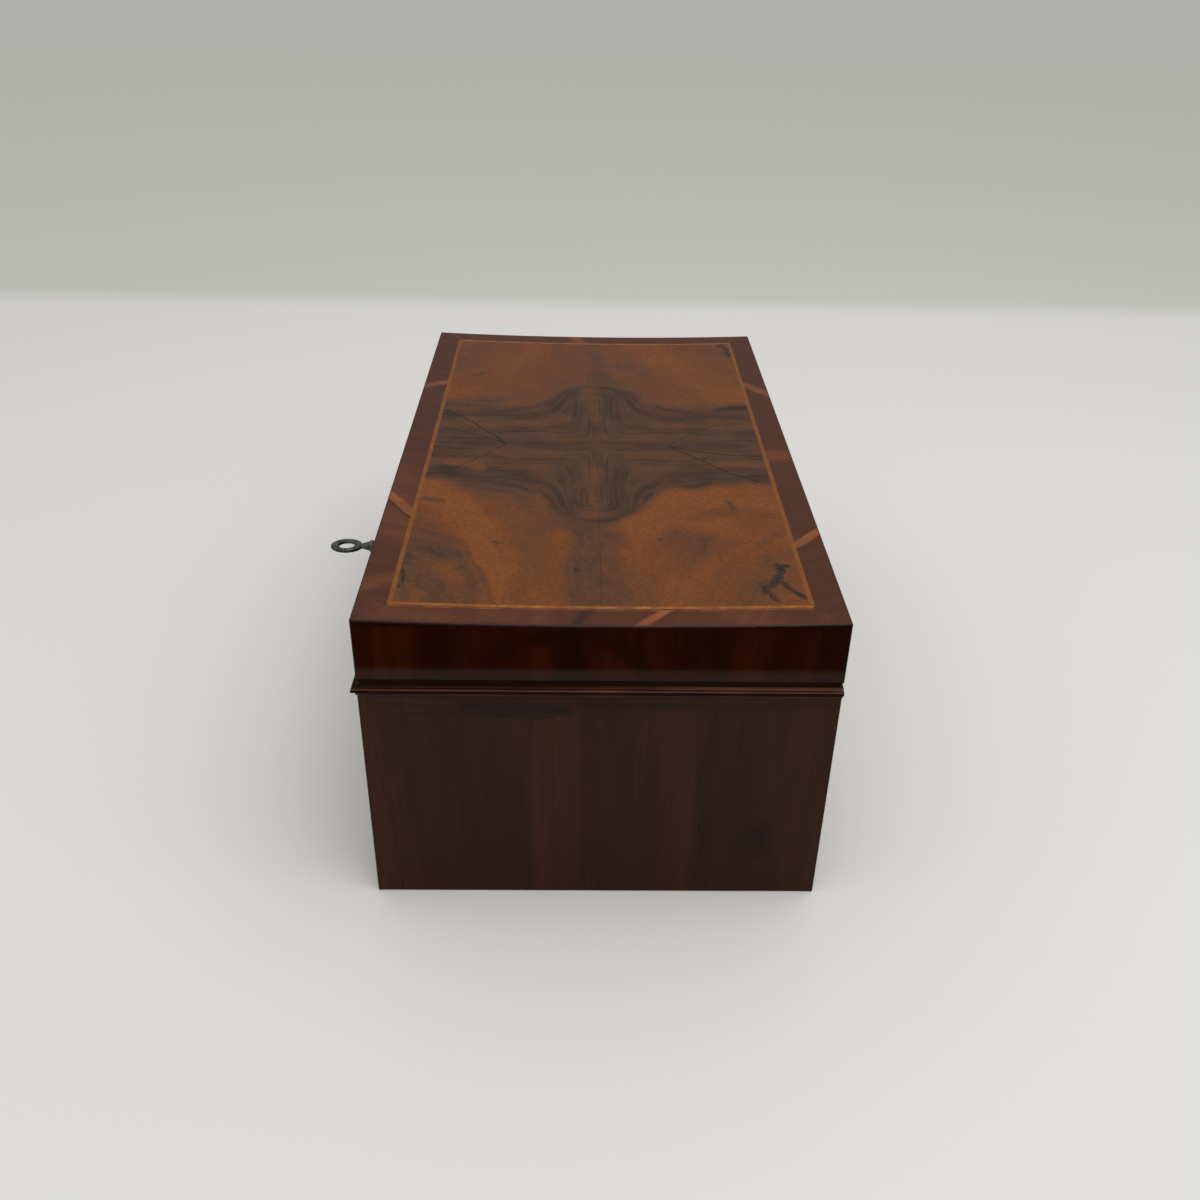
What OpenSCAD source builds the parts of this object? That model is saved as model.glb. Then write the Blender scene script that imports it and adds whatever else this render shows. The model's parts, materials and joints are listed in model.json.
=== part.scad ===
// Veneered desk letter box: a dovetailed softwood case with a hinged, locking lid.
// The front, with its key, faces -Y. The hinges are at +Y. The origin is the middle of the underside.

/* [Case] */
// Length over the veneered ends
case_length = 350; // [300:1:450]
// Depth from the front face to the back face
case_depth = 200; // [160:1:280]
// Height of the rim that the lid closes on
rim_height = 117.7; // [95:0.1:160]
// Thickness of the softwood walls
wall_t = 11; // [10.5:0.5:14]
// Thickness of the bottom board
bottom_t = 8; // [5:0.5:12]
// Depth of the rebate that the bottom board sits in
rebate = 5; // [3:0.5:7]

/* [Lid] */
// Height of the lid at its front and back edges
lid_height = 29; // [25:0.5:45]
// Thickness of the lid's board at its front and back edges
panel_t = 9; // [7:0.5:12]
// How far the top has sunk along its middle
dish = 2; // [0.5:0.1:4]
// Gap between the rim and the closed lid
lid_gap = 0.3; // [0.2:0.05:0.8]

/* [Veneer] */
// Thickness of the saw-cut veneer
veneer_t = 1; // [0.7:0.1:1.6]
// Width of the crossbanding round the top
banding_w = 13; // [8:0.5:22]
// Width of the light stringing inside the banding
stringing_w = 2; // [1:0.25:4]
// Radius of the worn outer edges
arris_r = 0.8; // [0.3:0.1:1]

/* [Moulding] */
// Distance from the rim down to the moulding's upper edge
moulding_drop = 1.9; // [1:0.1:4]
// Height of the lower fillet
fillet_h = 1.7; // [1:0.1:3]
// Projection of the lower fillet
fillet_out = 0.5; // [0.3:0.1:0.9]
// Diameter of the bead
bead_d = 2.2; // [1.6:0.1:3.2]
// Radius of the hollow above the bead
cove_r = 1.1; // [0.8:0.1:2]

/* [Joinery] */
// Dovetails at each corner of the case
case_tails = 4; // [3:1:5]
// Dovetails at each corner of the lid
lid_tails = 2; // [1:1:2]
// Width of a pin on the inside face
pin_w = 6; // [5:0.5:8]
// Slope of the tails, as a run of this many to one
tail_slope = 6; // [6:0.5:8]

/* [Hinges] */
// Length of a hinge
hinge_length = 36; // [28:1:55]
// Distance from the end of the case to the hinge
hinge_inset = 58; // [35:1:90]
// Width of a leaf in the wood
leaf_w = 8.5; // [7:0.5:9.5]
// Thickness of a leaf
leaf_t = 1.4; // [1:0.1:1.6]
// Diameter of the barrel
barrel_d = 4.4; // [3.8:0.1:6]
// Diameter of the hinge pin
hinge_pin_d = 2; // [1.5:0.1:2.6]
// Knuckles on each hinge
knuckles = 5; // [3:2:7]
// Opening at which the hinge's heels meet
stop_angle = 102; // [95:1:115]
// Reach of a heel past the barrel
heel_reach = 1.5; // [1:0.1:2.5]

/* [Lock] */
// Thickness of the back plate, the selvedge and the link plate
plate_t = 1.5; // [1:0.1:1.8]
// Thickness of the sheet that the lock's case is made of
sheet_t = 1; // [0.6:0.1:1.2]
// Wood left in front of the lock
lock_cover = 1.5; // [1:0.1:2]
// Distance from the rim down to the key's axis
key_drop = 33.7; // [31:0.1:45]
// Width of each screwed ear of the back plate
ear_w = 6; // [5:0.5:10]
// Thickness of the bolt
bolt_t = 2.2; // [1.6:0.1:2.6]
// Travel of the bolt
bolt_throw = 6; // [5:0.25:6.5]
// Distance between the two staples
staple_gap = 24; // [23:0.5:32]
// Thickness of a staple
staple_t = 2.4; // [1.8:0.1:3]
// Metal round a staple's eye
staple_rim = 1.5; // [1.2:0.1:1.7]
// Distance from the rim down to the bolt's tongues
tongue_drop = 8.7; // [8:0.1:10]
// Height of a tongue
tongue_h = 4; // [3:0.25:4.5]
// Width of the posts that carry the tongues
post_w = 3.4; // [2.5:0.1:4]
// Diameter of the spring that bears on the bolt
spring_d = 7.2; // [5:0.1:7.8]
// Diameter of the studs that the bolt slides on
stud_d = 2.6; // [2:0.1:3.2]
// Diameter of the pin that the key's pipe turns on
drill_pin_d = 1.9; // [1.5:0.1:2.2]
// Thickness of the brass keyhole lining
liner_t = 0.8; // [0.5:0.1:1.2]

/* [Key] */
// Diameter of the shank
shank_d = 4.8; // [4.4:0.1:5.6]
// Distance from the case to the end of the bow
key_out = 45.5; // [40:0.5:60]
// Length of the bow
bow_length = 17.5; // [15:0.5:24]
// Width of the bow
bow_width = 13.5; // [12:0.5:18]
// Length of the eye in the bow
eye_length = 8.5; // [7:0.5:12]
// Width of the eye in the bow
eye_width = 7.7; // [6:0.1:9]
// Thickness of the bow
bow_t = 2.2; // [1.8:0.1:3]
// Length of the tapered neck between the bow and the collar
neck_l = 3.5; // [2:0.5:6]
// Diameter of the collar
collar_d = 6.4; // [5.8:0.1:8]
// Length of the collar
collar_l = 3; // [2:0.5:5]
// Reach of the bit from the key's axis
bit_reach = 7.5; // [7:0.1:8]
// Thickness of the bit
bit_t = 2.4; // [1.8:0.1:2.8]

/* [Screws] */
// Diameter of a screw's head
head_d = 4; // [3:0.1:4.6]
// Diameter of a screw's shank
screw_d = 2; // [1.5:0.1:2.4]
// Length of a screw
screw_l = 8; // [6:0.5:9]
// Depth of a countersunk head
head_h = 1.2; // [0.8:0.1:1.4]
// Width of a screw's slot
screw_slot_w = 0.5; // [0.3:0.05:0.8]
// Depth of a screw's slot
screw_slot_depth = 0.4; // [0.2:0.05:0.7]

/* [Fits] */
// Clearance between parts that move past each other
clearance = 0.3; // [0.2:0.05:0.4]
// Clearance round a pin that something turns on
pin_fit = 0.06; // [0.02:0.01:0.1]

/* [Hidden] */
$fn = 48;
over = 1; // how far a cutting shape runs past the face that it cuts
crown_step = 10; // spacing of the flats that the dished top is planed in
cove_end = 262; // angle at which the moulding's hollow runs into the bead
screw_tip = 1.5; // length of a screw's point
screw_margin = 3; // metal between a screw's head and the end of its plate
heel_flat = 1.2; // flat at the tip of a hinge's heel
tongue_gap = 0.7; // space between the staples and the drawn bolt
slot_fit = 0.5; // room round a staple, which swings a little as the lid lifts
talon_depth = 2.5; // how far the bit reaches into the bolt
bit_lead = 0.4; // share of the bit's thickness that its corner runs ahead of the bolt
bit_room = 1; // space below the sweep of the bit
bolt_end = 4; // length of the bolt past its right stud
plate_rim = 1.5; // back plate that shows below the lock's case
stud_step = 2; // the left stud stands this far inside the left staple
stud_shoulder = 1.2; // width of the shoulder round a stud
stud_tip = 0.6; // how far a stud stands past the bolt
spring_t = 0.6; // thickness of the bolt's spring
spring_w = 2.4; // width of the bolt's spring
spring_stud_d = 2; // diameter of the stud that the spring hooks over
pin_inset = 1; // the drill pin ends this far inside the front face
pipe_end = 1; // the key's pipe ends this far outside the front face
collar_edge = 0.6; // length of the tapers at the ends of the collar
neck_root = 2.5; // how far the neck runs into the bow
bow_edge = 0.4; // worn rim of the bow, cut as one step
ward_y = 1.4; // distance from the lock's front plate to the cut in the bit
ward_w = 1; // width of the cut in the bit
ward_h = 2; // depth of the cut in the bit

half_x = case_length / 2;
half_y = case_depth / 2;
core_x = half_x - veneer_t;
core_y = half_y - veneer_t;
inner_x = core_x - wall_t;
inner_y = core_y - wall_t;
lid_z = rim_height + lid_gap;
box_height = lid_z + lid_height;
rail_h = lid_height - panel_t - veneer_t;

moulding_top = rim_height - moulding_drop;
moulding_out = cove_r + bead_d / 2;
moulding_h = fillet_h + bead_d + cove_r;

tail_flare = wall_t / tail_slope;

axis_y = half_y + clearance + barrel_d / 2;
axis_z = rim_height + lid_gap / 2;
knuckle_l = hinge_length / knuckles;
leaf_inner_y = core_y - leaf_w;
hinge_x = half_x - hinge_inset - hinge_length / 2;
hinge_screw_step = (hinge_length - head_d) / 2 - screw_margin;

key_z = rim_height - key_drop;
lock_front = -core_y + lock_cover;
plate_inner = -inner_y;
plate_outer = plate_inner - plate_t;
case_mid = (lock_front + sheet_t + plate_outer) / 2;
bit_top = key_z + bit_reach;
talon_edge = bit_top - talon_depth;
tongue_z = rim_height - tongue_drop;
eye_y = bolt_t + 2 * clearance;
eye_z = tongue_h + 2 * clearance;
staple_w = eye_y + 2 * staple_rim;
staple_low = tongue_z - eye_z / 2 - staple_rim;
bolt_top = staple_low - tongue_gap;
post_reach = staple_t / 2 + bolt_throw + tongue_gap;
bolt_left = -staple_gap / 2 - post_reach - post_w;
bolt_right = staple_gap / 2 + bolt_end;
case_half_w = -bolt_left + tongue_gap + sheet_t;
lock_half_w = case_half_w + ear_w;
case_bottom = key_z - bit_reach - bit_room - sheet_t;
lock_bottom = case_bottom - plate_rim;
ear_x = case_half_w + ear_w / 2;
stud_z = (bolt_top + bit_top) / 2;
spring_x = bolt_throw - post_reach - post_w / 2; // midway in the space that the tongues leave
spring_z = bolt_top + clearance + spring_d / 2;
lug_y = (lock_front + plate_inner) / 2;
key_inner = plate_outer - clearance;
bow_mid = -half_y - key_out + bow_length / 2;
neck_start = key_out - bow_length - neck_l;

walnut = [0.27, 0.15, 0.10];
walnut_light = [0.48, 0.29, 0.15];
banding_red = [0.36, 0.21, 0.16];
satin_light = [0.72, 0.52, 0.28];
pine = [0.70, 0.55, 0.36];
brass = [0.72, 0.58, 0.30];
steel = [0.42, 0.42, 0.42];

// Helper shapes

module block(x, y, z) {
    translate([x[0], y[0], z[0]]) cube([x[1] - x[0], y[1] - y[0], z[1] - z[0]]);
}

// Carries a Y-Z outline along X
module along_x(x0, x1) {
    translate([x0, 0, 0]) rotate([90, 0, 90]) linear_extrude(x1 - x0) children();
}

// Carries an X-Z outline along Y
module along_y(y0, y1) {
    translate([0, y1, 0]) rotate([90, 0, 0]) linear_extrude(y1 - y0) children();
}

function arc(cx, cy, r, a0, a1, n = 8) =
    [for (i = [0:n]) let (a = a0 + (a1 - a0) * i / n) [cx + r * cos(a), cy + r * sin(a)]];

function ellipse(length, width, n = 36) =
    [for (i = [0:n - 1]) [width / 2 * cos(360 * i / n), length / 2 * sin(360 * i / n)]];

// Plan of the box, with its upright edges worn round
module plan() {
    x = half_x - arris_r;
    y = half_y - arris_r;
    polygon(concat(arc(x, y, arris_r, 0, 90), arc(-x, y, arris_r, 90, 180),
                   arc(-x, -y, arris_r, 180, 270), arc(x, -y, arris_r, 270, 360)));
}

// Height of the dished top at y: a parabola, planed in flats
function parabola(y) = box_height - dish * (1 - pow(y / half_y, 2));
function crown(y) =
    let (a = crown_step * floor(y / crown_step), b = a + crown_step)
    parabola(a) + (parabola(b) - parabola(a)) * (y - a) / crown_step;
function stations(y0, y1) = concat(
    [y0],
    [for (k = [floor(y0 / crown_step) + 1 : ceil(y1 / crown_step) - 1]) k * crown_step],
    [y1]);
function crown_line(y0, y1, drop) = [for (y = stations(y0, y1)) [y, crown(y) - drop]];
function reversed(list) = [for (i = [len(list) - 1 : -1 : 0]) list[i]];

// Sheet of veneer laid on the dished top
module crown_sheet(x, y) {
    along_x(x[0], x[1])
        polygon(concat(crown_line(y[0], y[1], 0), reversed(crown_line(y[0], y[1], veneer_t))));
}

// Wall whose upper edge follows the underside of the top veneer
module crown_wall(x, y, z0) {
    along_x(x[0], x[1])
        polygon(concat([[y[1], z0], [y[0], z0]], crown_line(y[0], y[1], veneer_t)));
}

// A countersunk wood screw, head up at the origin
module screw_body() {
    rotate_extrude()
        polygon([[0, 0], [head_d / 2, 0], [screw_d / 2, -head_h],
                 [screw_d / 2, screw_tip - screw_l], [0, -screw_l]]);
}

module screw() {
    difference() {
        screw_body();
        cube([head_d + over, screw_slot_w, 2 * screw_slot_depth], center = true);
    }
}

// Dovetails

// Trapezoids between the shoulder of a long board and its end
module wedges(height, count, phase, half, grow, x0, x1) {
    pitch = height / count;
    for (i = [0 : count - 2 * phase]) {
        c = (i + phase) * pitch;
        h0 = half + grow * x0 / wall_t;
        h1 = half + grow * x1 / wall_t;
        polygon([[x0, c - h0], [x1, c - h1], [x1, c + h1], [x0, c + h0]]);
    }
}

module at_corners() {
    for (sx = [0, 1], sy = [0, 1])
        mirror([sx, 0, 0]) mirror([0, sy, 0]) translate([inner_x, 0, 0]) children();
}

module pin_sockets(height, count) {
    at_corners() along_y(inner_y - over, core_y + over)
        wedges(height, count, 0, pin_w / 2, -tail_flare, 0, wall_t + over);
}

module tail_sockets(height, count) {
    at_corners() along_y(inner_y, core_y + over)
        wedges(height, count, 0.5, (height / count - pin_w) / 2, tail_flare, -over, wall_t + over);
}

module long_board(side, height, count) {
    difference() {
        scale([1, side, 1]) block([-core_x, core_x], [inner_y, core_y], [0, height]);
        pin_sockets(height, count);
    }
}

module end_board(side, height, count) {
    difference() {
        scale([side, 1, 1]) block([inner_x, core_x], [-core_y, core_y], [0, height]);
        tail_sockets(height, count);
    }
}

// Case

module bottom_shape(z0) {
    block([-inner_x - rebate, inner_x + rebate], [-inner_y - rebate, inner_y + rebate], [z0, bottom_t]);
}

module bottom_board() {
    color(pine) bottom_shape(0);
}

module front_board() {
    color(pine) difference() {
        long_board(-1, rim_height, case_tails);
        bottom_shape(-over);
        lock_mortise();
        keyhole([-core_y - over, lock_front + over], liner_t);
        place_lock_screws() screw_body();
    }
}

module back_board() {
    color(pine) difference() {
        long_board(1, rim_height, case_tails);
        bottom_shape(-over);
        for (side = [-1, 1]) leaf_recess(side, [rim_height - leaf_t, rim_height + over]);
        place_lower_hinge_screws() screw_body();
    }
}

module left_board() {
    color(pine) difference() {
        end_board(-1, rim_height, case_tails);
        bottom_shape(-over);
    }
}

module right_board() {
    color(pine) difference() {
        end_board(1, rim_height, case_tails);
        bottom_shape(-over);
    }
}

// Face veneer between two heights, cut to the plan of the box
module face_veneer(x, y, z) {
    intersection() {
        block(x, y, z);
        translate([0, 0, z[0] - over]) linear_extrude(z[1] - z[0] + 2 * over) plan();
    }
}

module front_veneer() {
    color(walnut) difference() {
        face_veneer([-half_x - over, half_x + over], [-half_y - over, -core_y], [0, moulding_top]);
        keyhole([-half_y - over, -core_y + over], liner_t);
    }
}

module back_veneer() {
    color(walnut)
        face_veneer([-half_x - over, half_x + over], [core_y, half_y + over], [0, moulding_top]);
}

module left_veneer() {
    color(walnut) block([-half_x, -core_x], [-core_y, core_y], [0, moulding_top]);
}

module right_veneer() {
    color(walnut) block([core_x, half_x], [-core_y, core_y], [0, moulding_top]);
}

// Moulding

// Outline of the moulding: a fillet, a bead and a hollow, standing out along +X
module moulding_outline() {
    bead_x = moulding_out - bead_d / 2;
    bead_y = fillet_h + bead_d / 2;
    polygon(concat(
        [[0, 0], [fillet_out, 0], [fillet_out, fillet_h]],
        arc(bead_x, bead_y, bead_d / 2, -90, 90, 10),
        reversed(arc(bead_x, moulding_h, cove_r, 180, cove_end, 6))));
}

module moulding_place() {
    translate([0, moulding_top - moulding_h]) children();
}

module front_moulding() {
    m = moulding_out + over;
    color(walnut_light) intersection() {
        along_x(-half_x - m, half_x + m)
            moulding_place() translate([-half_y, 0]) mirror([1, 0]) moulding_outline();
        linear_extrude(box_height)
            polygon([[-half_x - m, -half_y - m], [half_x + m, -half_y - m],
                     [half_x - over, -half_y + over], [-half_x + over, -half_y + over]]);
    }
}

module end_moulding(side) {
    m = moulding_out + over;
    mirror([side < 0 ? 1 : 0, 0, 0]) intersection() {
        along_y(-half_y - m, half_y)
            moulding_place() translate([half_x, 0]) moulding_outline();
        linear_extrude(box_height)
            polygon([[half_x + m, -half_y - m], [half_x + m, half_y + over],
                     [half_x - over, half_y + over], [half_x - over, -half_y + over]]);
    }
}

module left_moulding() {
    color(walnut_light) end_moulding(-1);
}

module right_moulding() {
    color(walnut_light) end_moulding(1);
}

// Lock

module keyhole_outline(grow) {
    w = bit_t / 2 + clearance + grow;
    circle(r = shank_d / 2 + clearance + grow);
    translate([-w, -bit_reach - clearance - grow]) square([2 * w, bit_reach + clearance + grow]);
}

module keyhole(y, grow) {
    along_y(y[0], y[1]) translate([0, key_z]) keyhole_outline(grow);
}

module keyhole_liner() {
    color(brass) difference() {
        keyhole([-half_y, lock_front], liner_t);
        keyhole([-half_y - over, lock_front + over], 0);
    }
}

module lock_mortise() {
    block([-lock_half_w, lock_half_w], [plate_outer, plate_inner + over], [lock_bottom, rim_height + over]);
    block([-lock_half_w, lock_half_w], [lock_front, plate_inner + over],
          [rim_height - plate_t, rim_height + over]);
    block([-case_half_w, case_half_w], [lock_front, plate_inner + over], [case_bottom, rim_height + over]);
}

module place_lock_screws() {
    inset = head_d + screw_margin;
    for (sx = [-1, 1], z = [lock_bottom + inset, rim_height - plate_t - inset])
        translate([sx * ear_x, plate_inner, z]) rotate([-90, 0, 0]) children();
}

// Slots over the staples
module staple_slots() {
    for (sx = [-1, 1])
        block([sx * staple_gap / 2 - staple_t / 2 - slot_fit, sx * staple_gap / 2 + staple_t / 2 + slot_fit],
              [case_mid - staple_w / 2 - slot_fit, case_mid + staple_w / 2 + slot_fit],
              [rim_height - plate_t - sheet_t - over, rim_height + over]);
}

module lock_backplate() {
    color(brass) difference() {
        union() {
            block([-lock_half_w, lock_half_w], [plate_outer, plate_inner], [lock_bottom, rim_height]);
            block([-lock_half_w, lock_half_w], [lock_front, plate_inner], [rim_height - plate_t, rim_height]);
        }
        staple_slots();
        place_lock_screws() screw_body();
    }
}

module lock_case() {
    color(brass) difference() {
        block([-case_half_w, case_half_w], [lock_front, plate_outer], [case_bottom, rim_height - plate_t]);
        block([-case_half_w + sheet_t, case_half_w - sheet_t], [lock_front + sheet_t, plate_outer + over],
              [case_bottom + sheet_t, rim_height - plate_t - sheet_t]);
        staple_slots();
        keyhole([lock_front - over, lock_front + sheet_t + over], 0);
    }
}

function stud_x() = [stud_step - staple_gap / 2, staple_gap / 2];

// Shouldered studs that the bolt slides on, and the stud that the spring hooks over
module lock_studs() {
    color(steel) {
        for (x = stud_x()) translate([x, plate_outer, stud_z]) rotate([90, 0, 0]) {
            cylinder(d = stud_d + 2 * stud_shoulder, h = plate_outer - case_mid - bolt_t / 2 - clearance);
            cylinder(d = stud_d, h = plate_outer - case_mid + bolt_t / 2 + stud_tip);
        }
        translate([spring_x, plate_outer, spring_z + (spring_d - spring_stud_d) / 2 - spring_t])
            rotate([90, 0, 0]) cylinder(d = spring_stud_d, h = plate_outer - case_mid + spring_w / 2);
    }
}

module lock_drill_pin() {
    color(steel) translate([0, plate_outer, key_z]) rotate([90, 0, 0])
        cylinder(d = drill_pin_d, h = plate_outer + half_y - pin_inset);
}

// C-shaped leaf that bears on the bolt's upper edge and keeps it where the key left it
module bolt_spring() {
    color(steel) along_y(case_mid - spring_w / 2, case_mid + spring_w / 2)
        translate([spring_x, spring_z]) difference() {
            circle(d = spring_d);
            circle(d = spring_d - 2 * spring_t);
            polygon([[0, 0], [spring_d / 2, spring_d], [spring_d, 0], [spring_d / 2, -spring_d / 2]]);
        }
}

module lock_screws() {
    color(steel) place_lock_screws() screw();
}

// Bolt: a plate with a talon below for the key and two tongues above for the staples
module lock_bolt() {
    talon_left = -bit_reach - bit_t / 2 - clearance;
    talon_right = bit_lead * bit_t + bit_t / 2 + 2 * clearance;
    color(brass) difference() {
        along_y(case_mid - bolt_t / 2, case_mid + bolt_t / 2) difference() {
            union() {
                translate([bolt_left, talon_edge]) square([bolt_right - bolt_left, bolt_top - talon_edge]);
                for (sx = [-1, 1]) translate([sx * staple_gap / 2 - post_reach, 0]) {
                    translate([-post_w, talon_edge]) square([post_w, tongue_z + tongue_h / 2 - talon_edge]);
                    translate([-post_w, tongue_z - tongue_h / 2]) square([post_w + bolt_throw, tongue_h]);
                }
            }
            translate([talon_left, talon_edge - over])
                square([talon_right - talon_left, bit_top + clearance - talon_edge + over]);
        }
        for (x = stud_x()) along_y(case_mid - bolt_t, case_mid + bolt_t) {
            translate([x, stud_z]) circle(d = stud_d + 2 * pin_fit);
            translate([x - bolt_throw, stud_z]) circle(d = stud_d + 2 * pin_fit);
            translate([x - bolt_throw, stud_z - stud_d / 2 - pin_fit])
                square([bolt_throw, stud_d + 2 * pin_fit]);
        }
    }
}

// Key

// Turned part of the key, between two distances out from the front face
module turned(s0, s1, d0, d1) {
    translate([0, -half_y - s0, key_z]) rotate([90, 0, 0]) cylinder(h = s1 - s0, d1 = d0, d2 = d1);
}

module bow_ring(inset, t) {
    translate([0, bow_mid, key_z - t / 2]) linear_extrude(t) difference() {
        polygon(ellipse(bow_length - 2 * inset, bow_width - 2 * inset));
        polygon(ellipse(eye_length + 2 * inset, eye_width + 2 * inset));
    }
}

module key() {
    inner_s = -half_y - key_inner;
    collar_s = neck_start - collar_l;
    ward = lock_front + sheet_t + ward_y;
    bit_y = [lock_front + sheet_t + clearance, key_inner];
    color(steel) difference() {
        union() {
            turned(inner_s, neck_start, shank_d, shank_d);
            turned(collar_s, collar_s + collar_edge, shank_d, collar_d);
            turned(collar_s + collar_edge, neck_start - collar_edge, collar_d, collar_d);
            turned(neck_start - collar_edge, neck_start, collar_d, shank_d);
            turned(neck_start, neck_start + neck_l + neck_root, shank_d, bow_t);
            bow_ring(0, bow_t - 2 * bow_edge);
            bow_ring(bow_edge, bow_t);
            block([-bit_reach, 0], bit_y, [key_z - bit_t / 2, key_z + bit_t / 2]);
        }
        turned(inner_s - over, pipe_end, drill_pin_d + 2 * pin_fit, drill_pin_d + 2 * pin_fit);
        block([-bit_reach - over, -bit_reach + ward_h], [ward, ward + ward_w],
              [key_z - bit_t, key_z + bit_t]);
    }
}

// Hinges

module leaf_recess(side, z) {
    block([side * hinge_x - hinge_length / 2, side * hinge_x + hinge_length / 2],
          [leaf_inner_y, half_y + over], z);
}

// Depth of a heel below the axis
function heel_drop() = (barrel_d / 2 + clearance + heel_reach) * sin(stop_angle / 2) + heel_flat;

// Heel under one side of the barrel: its sloping face meets the other heel's at the stop angle
module heel_outline() {
    r0 = barrel_d / 2 + clearance;
    r1 = r0 + heel_reach;
    a = stop_angle / 2;
    top = -lid_gap / 2;
    polygon([[-r0, top], [-top / tan(a), top], [r1 * cos(a), -r1 * sin(a)],
             [r1 * cos(a) - heel_flat, -heel_drop()], [-r0, -heel_drop()]]);
}

// Carries an outline along every second knuckle of a hinge
module along_knuckles(first) {
    for (k = [first : 2 : knuckles - 1])
        along_x(k * knuckle_l + (k == 0 ? 0 : clearance / 2),
                (k + 1) * knuckle_l - (k == knuckles - 1 ? 0 : clearance / 2))
            children();
}

// One leaf of a hinge, seen with its plate below the joint line
module hinge_leaf(first, bore_d) {
    r0 = barrel_d / 2 + clearance;
    top = -lid_gap / 2;
    difference() {
        union() {
            block([0, hinge_length], [leaf_inner_y - axis_y, -r0], [top - leaf_t, top]);
            difference() {
                along_x(0, hinge_length) heel_outline();
                along_x(-over, hinge_length + over) circle(r = r0);
            }
            along_knuckles(first) translate([-r0, -heel_drop()]) square([r0, heel_drop() + top]);
            along_knuckles(first) circle(d = barrel_d);
        }
        along_x(-over, hinge_length + over) circle(d = bore_d);
    }
}

module hinge_place(side) {
    translate([side * hinge_x - hinge_length / 2, axis_y, axis_z]) children();
}

module lower_leaf(side) {
    color(brass) difference() {
        hinge_place(side) hinge_leaf(0, hinge_pin_d);
        place_lower_hinge_screws() screw_body();
    }
}

module upper_leaf(side) {
    color(brass) difference() {
        hinge_place(side) mirror([0, 0, 1]) hinge_leaf(1, hinge_pin_d + 2 * pin_fit);
        place_upper_hinge_screws() screw_body();
    }
}

module hinge_leaf_lower_left() { lower_leaf(-1); }
module hinge_leaf_lower_right() { lower_leaf(1); }
module hinge_leaf_upper_left() { upper_leaf(-1); }
module hinge_leaf_upper_right() { upper_leaf(1); }

module hinge_pins() {
    color(steel) for (side = [-1, 1])
        hinge_place(side) rotate([0, 90, 0]) cylinder(d = hinge_pin_d, h = hinge_length);
}

module place_hinge_screws() {
    for (side = [-1, 1], i = [-1, 0, 1])
        translate([side * hinge_x + i * hinge_screw_step, leaf_inner_y + leaf_w / 2, 0]) children();
}

module place_lower_hinge_screws() {
    place_hinge_screws() translate([0, 0, rim_height]) children();
}

module place_upper_hinge_screws() {
    place_hinge_screws() translate([0, 0, lid_z]) mirror([0, 0, 1]) children();
}

module hinge_screws_lower() {
    color(brass) place_lower_hinge_screws() screw();
}

module hinge_screws_upper() {
    color(brass) place_upper_hinge_screws() screw();
}

// Lid

module lid_panel() {
    color(pine) crown_wall([-core_x, core_x], [-core_y, core_y], lid_z + rail_h);
}

module lid_front_rail() {
    color(pine) difference() {
        translate([0, 0, lid_z]) long_board(-1, rail_h, lid_tails);
        block([-lock_half_w, lock_half_w], [lock_front, plate_inner + over], [lid_z - over, lid_z + plate_t]);
        place_link_screws() screw_body();
    }
}

module lid_back_rail() {
    color(pine) difference() {
        translate([0, 0, lid_z]) long_board(1, rail_h, lid_tails);
        for (side = [-1, 1]) leaf_recess(side, [lid_z - over, lid_z + leaf_t]);
        place_upper_hinge_screws() screw_body();
    }
}

module lid_left_rail() {
    color(pine) translate([0, 0, lid_z]) end_board(-1, rail_h, lid_tails);
}

module lid_right_rail() {
    color(pine) translate([0, 0, lid_z]) end_board(1, rail_h, lid_tails);
}

// Long veneer of the lid, between two depths
module lid_long_veneer(y) {
    intersection() {
        crown_wall([-half_x - over, half_x + over], y, lid_z);
        linear_extrude(box_height + over) plan();
    }
}

module lid_front_veneer() {
    color(walnut) lid_long_veneer([-half_y - over, -core_y]);
}

module lid_back_veneer() {
    color(walnut) difference() {
        lid_long_veneer([core_y, half_y + over]);
        for (side = [-1, 1]) leaf_recess(side, [lid_z - over, lid_z + leaf_t]);
    }
}

module lid_left_veneer() {
    color(walnut) crown_wall([-half_x, -core_x], [-core_y, core_y], lid_z);
}

module lid_right_veneer() {
    color(walnut) crown_wall([core_x, half_x], [-core_y, core_y], lid_z);
}

// One quarter of the matched top, with its seams on the middle lines
module top_leaf(sx, sy) {
    x = half_x - banding_w - stringing_w;
    y = half_y - banding_w - stringing_w;
    color(walnut_light) crown_sheet([sx < 0 ? -x : 0, sx < 0 ? 0 : x], [sy < 0 ? -y : 0, sy < 0 ? 0 : y]);
}

module top_leaf_front_left() { top_leaf(-1, -1); }
module top_leaf_front_right() { top_leaf(1, -1); }
module top_leaf_back_left() { top_leaf(-1, 1); }
module top_leaf_back_right() { top_leaf(1, 1); }

// Strip of a mitred frame on the top: long strips face front or back, end strips left or right
module long_strip(side, inset, w) {
    x = half_x - inset;
    y = half_y - inset;
    intersection() {
        crown_sheet([-half_x - over, half_x + over],
                    side < 0 ? [-y - over, -y + w + over] : [y - w - over, y + over]);
        linear_extrude(box_height + over) scale([1, side])
            polygon([[-x, y], [-x + w, y - w], [x - w, y - w], [x, y]]);
    }
}

module end_strip(side, inset, w) {
    x = half_x - inset;
    y = half_y - inset;
    intersection() {
        crown_sheet(side < 0 ? [-x - over, -x + w + over] : [x - w - over, x + over],
                    [-half_y - over, half_y + over]);
        linear_extrude(box_height + over) scale([side, 1])
            polygon([[x, -y], [x, y], [x - w, y - w], [x - w, -y + w]]);
    }
}

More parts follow.
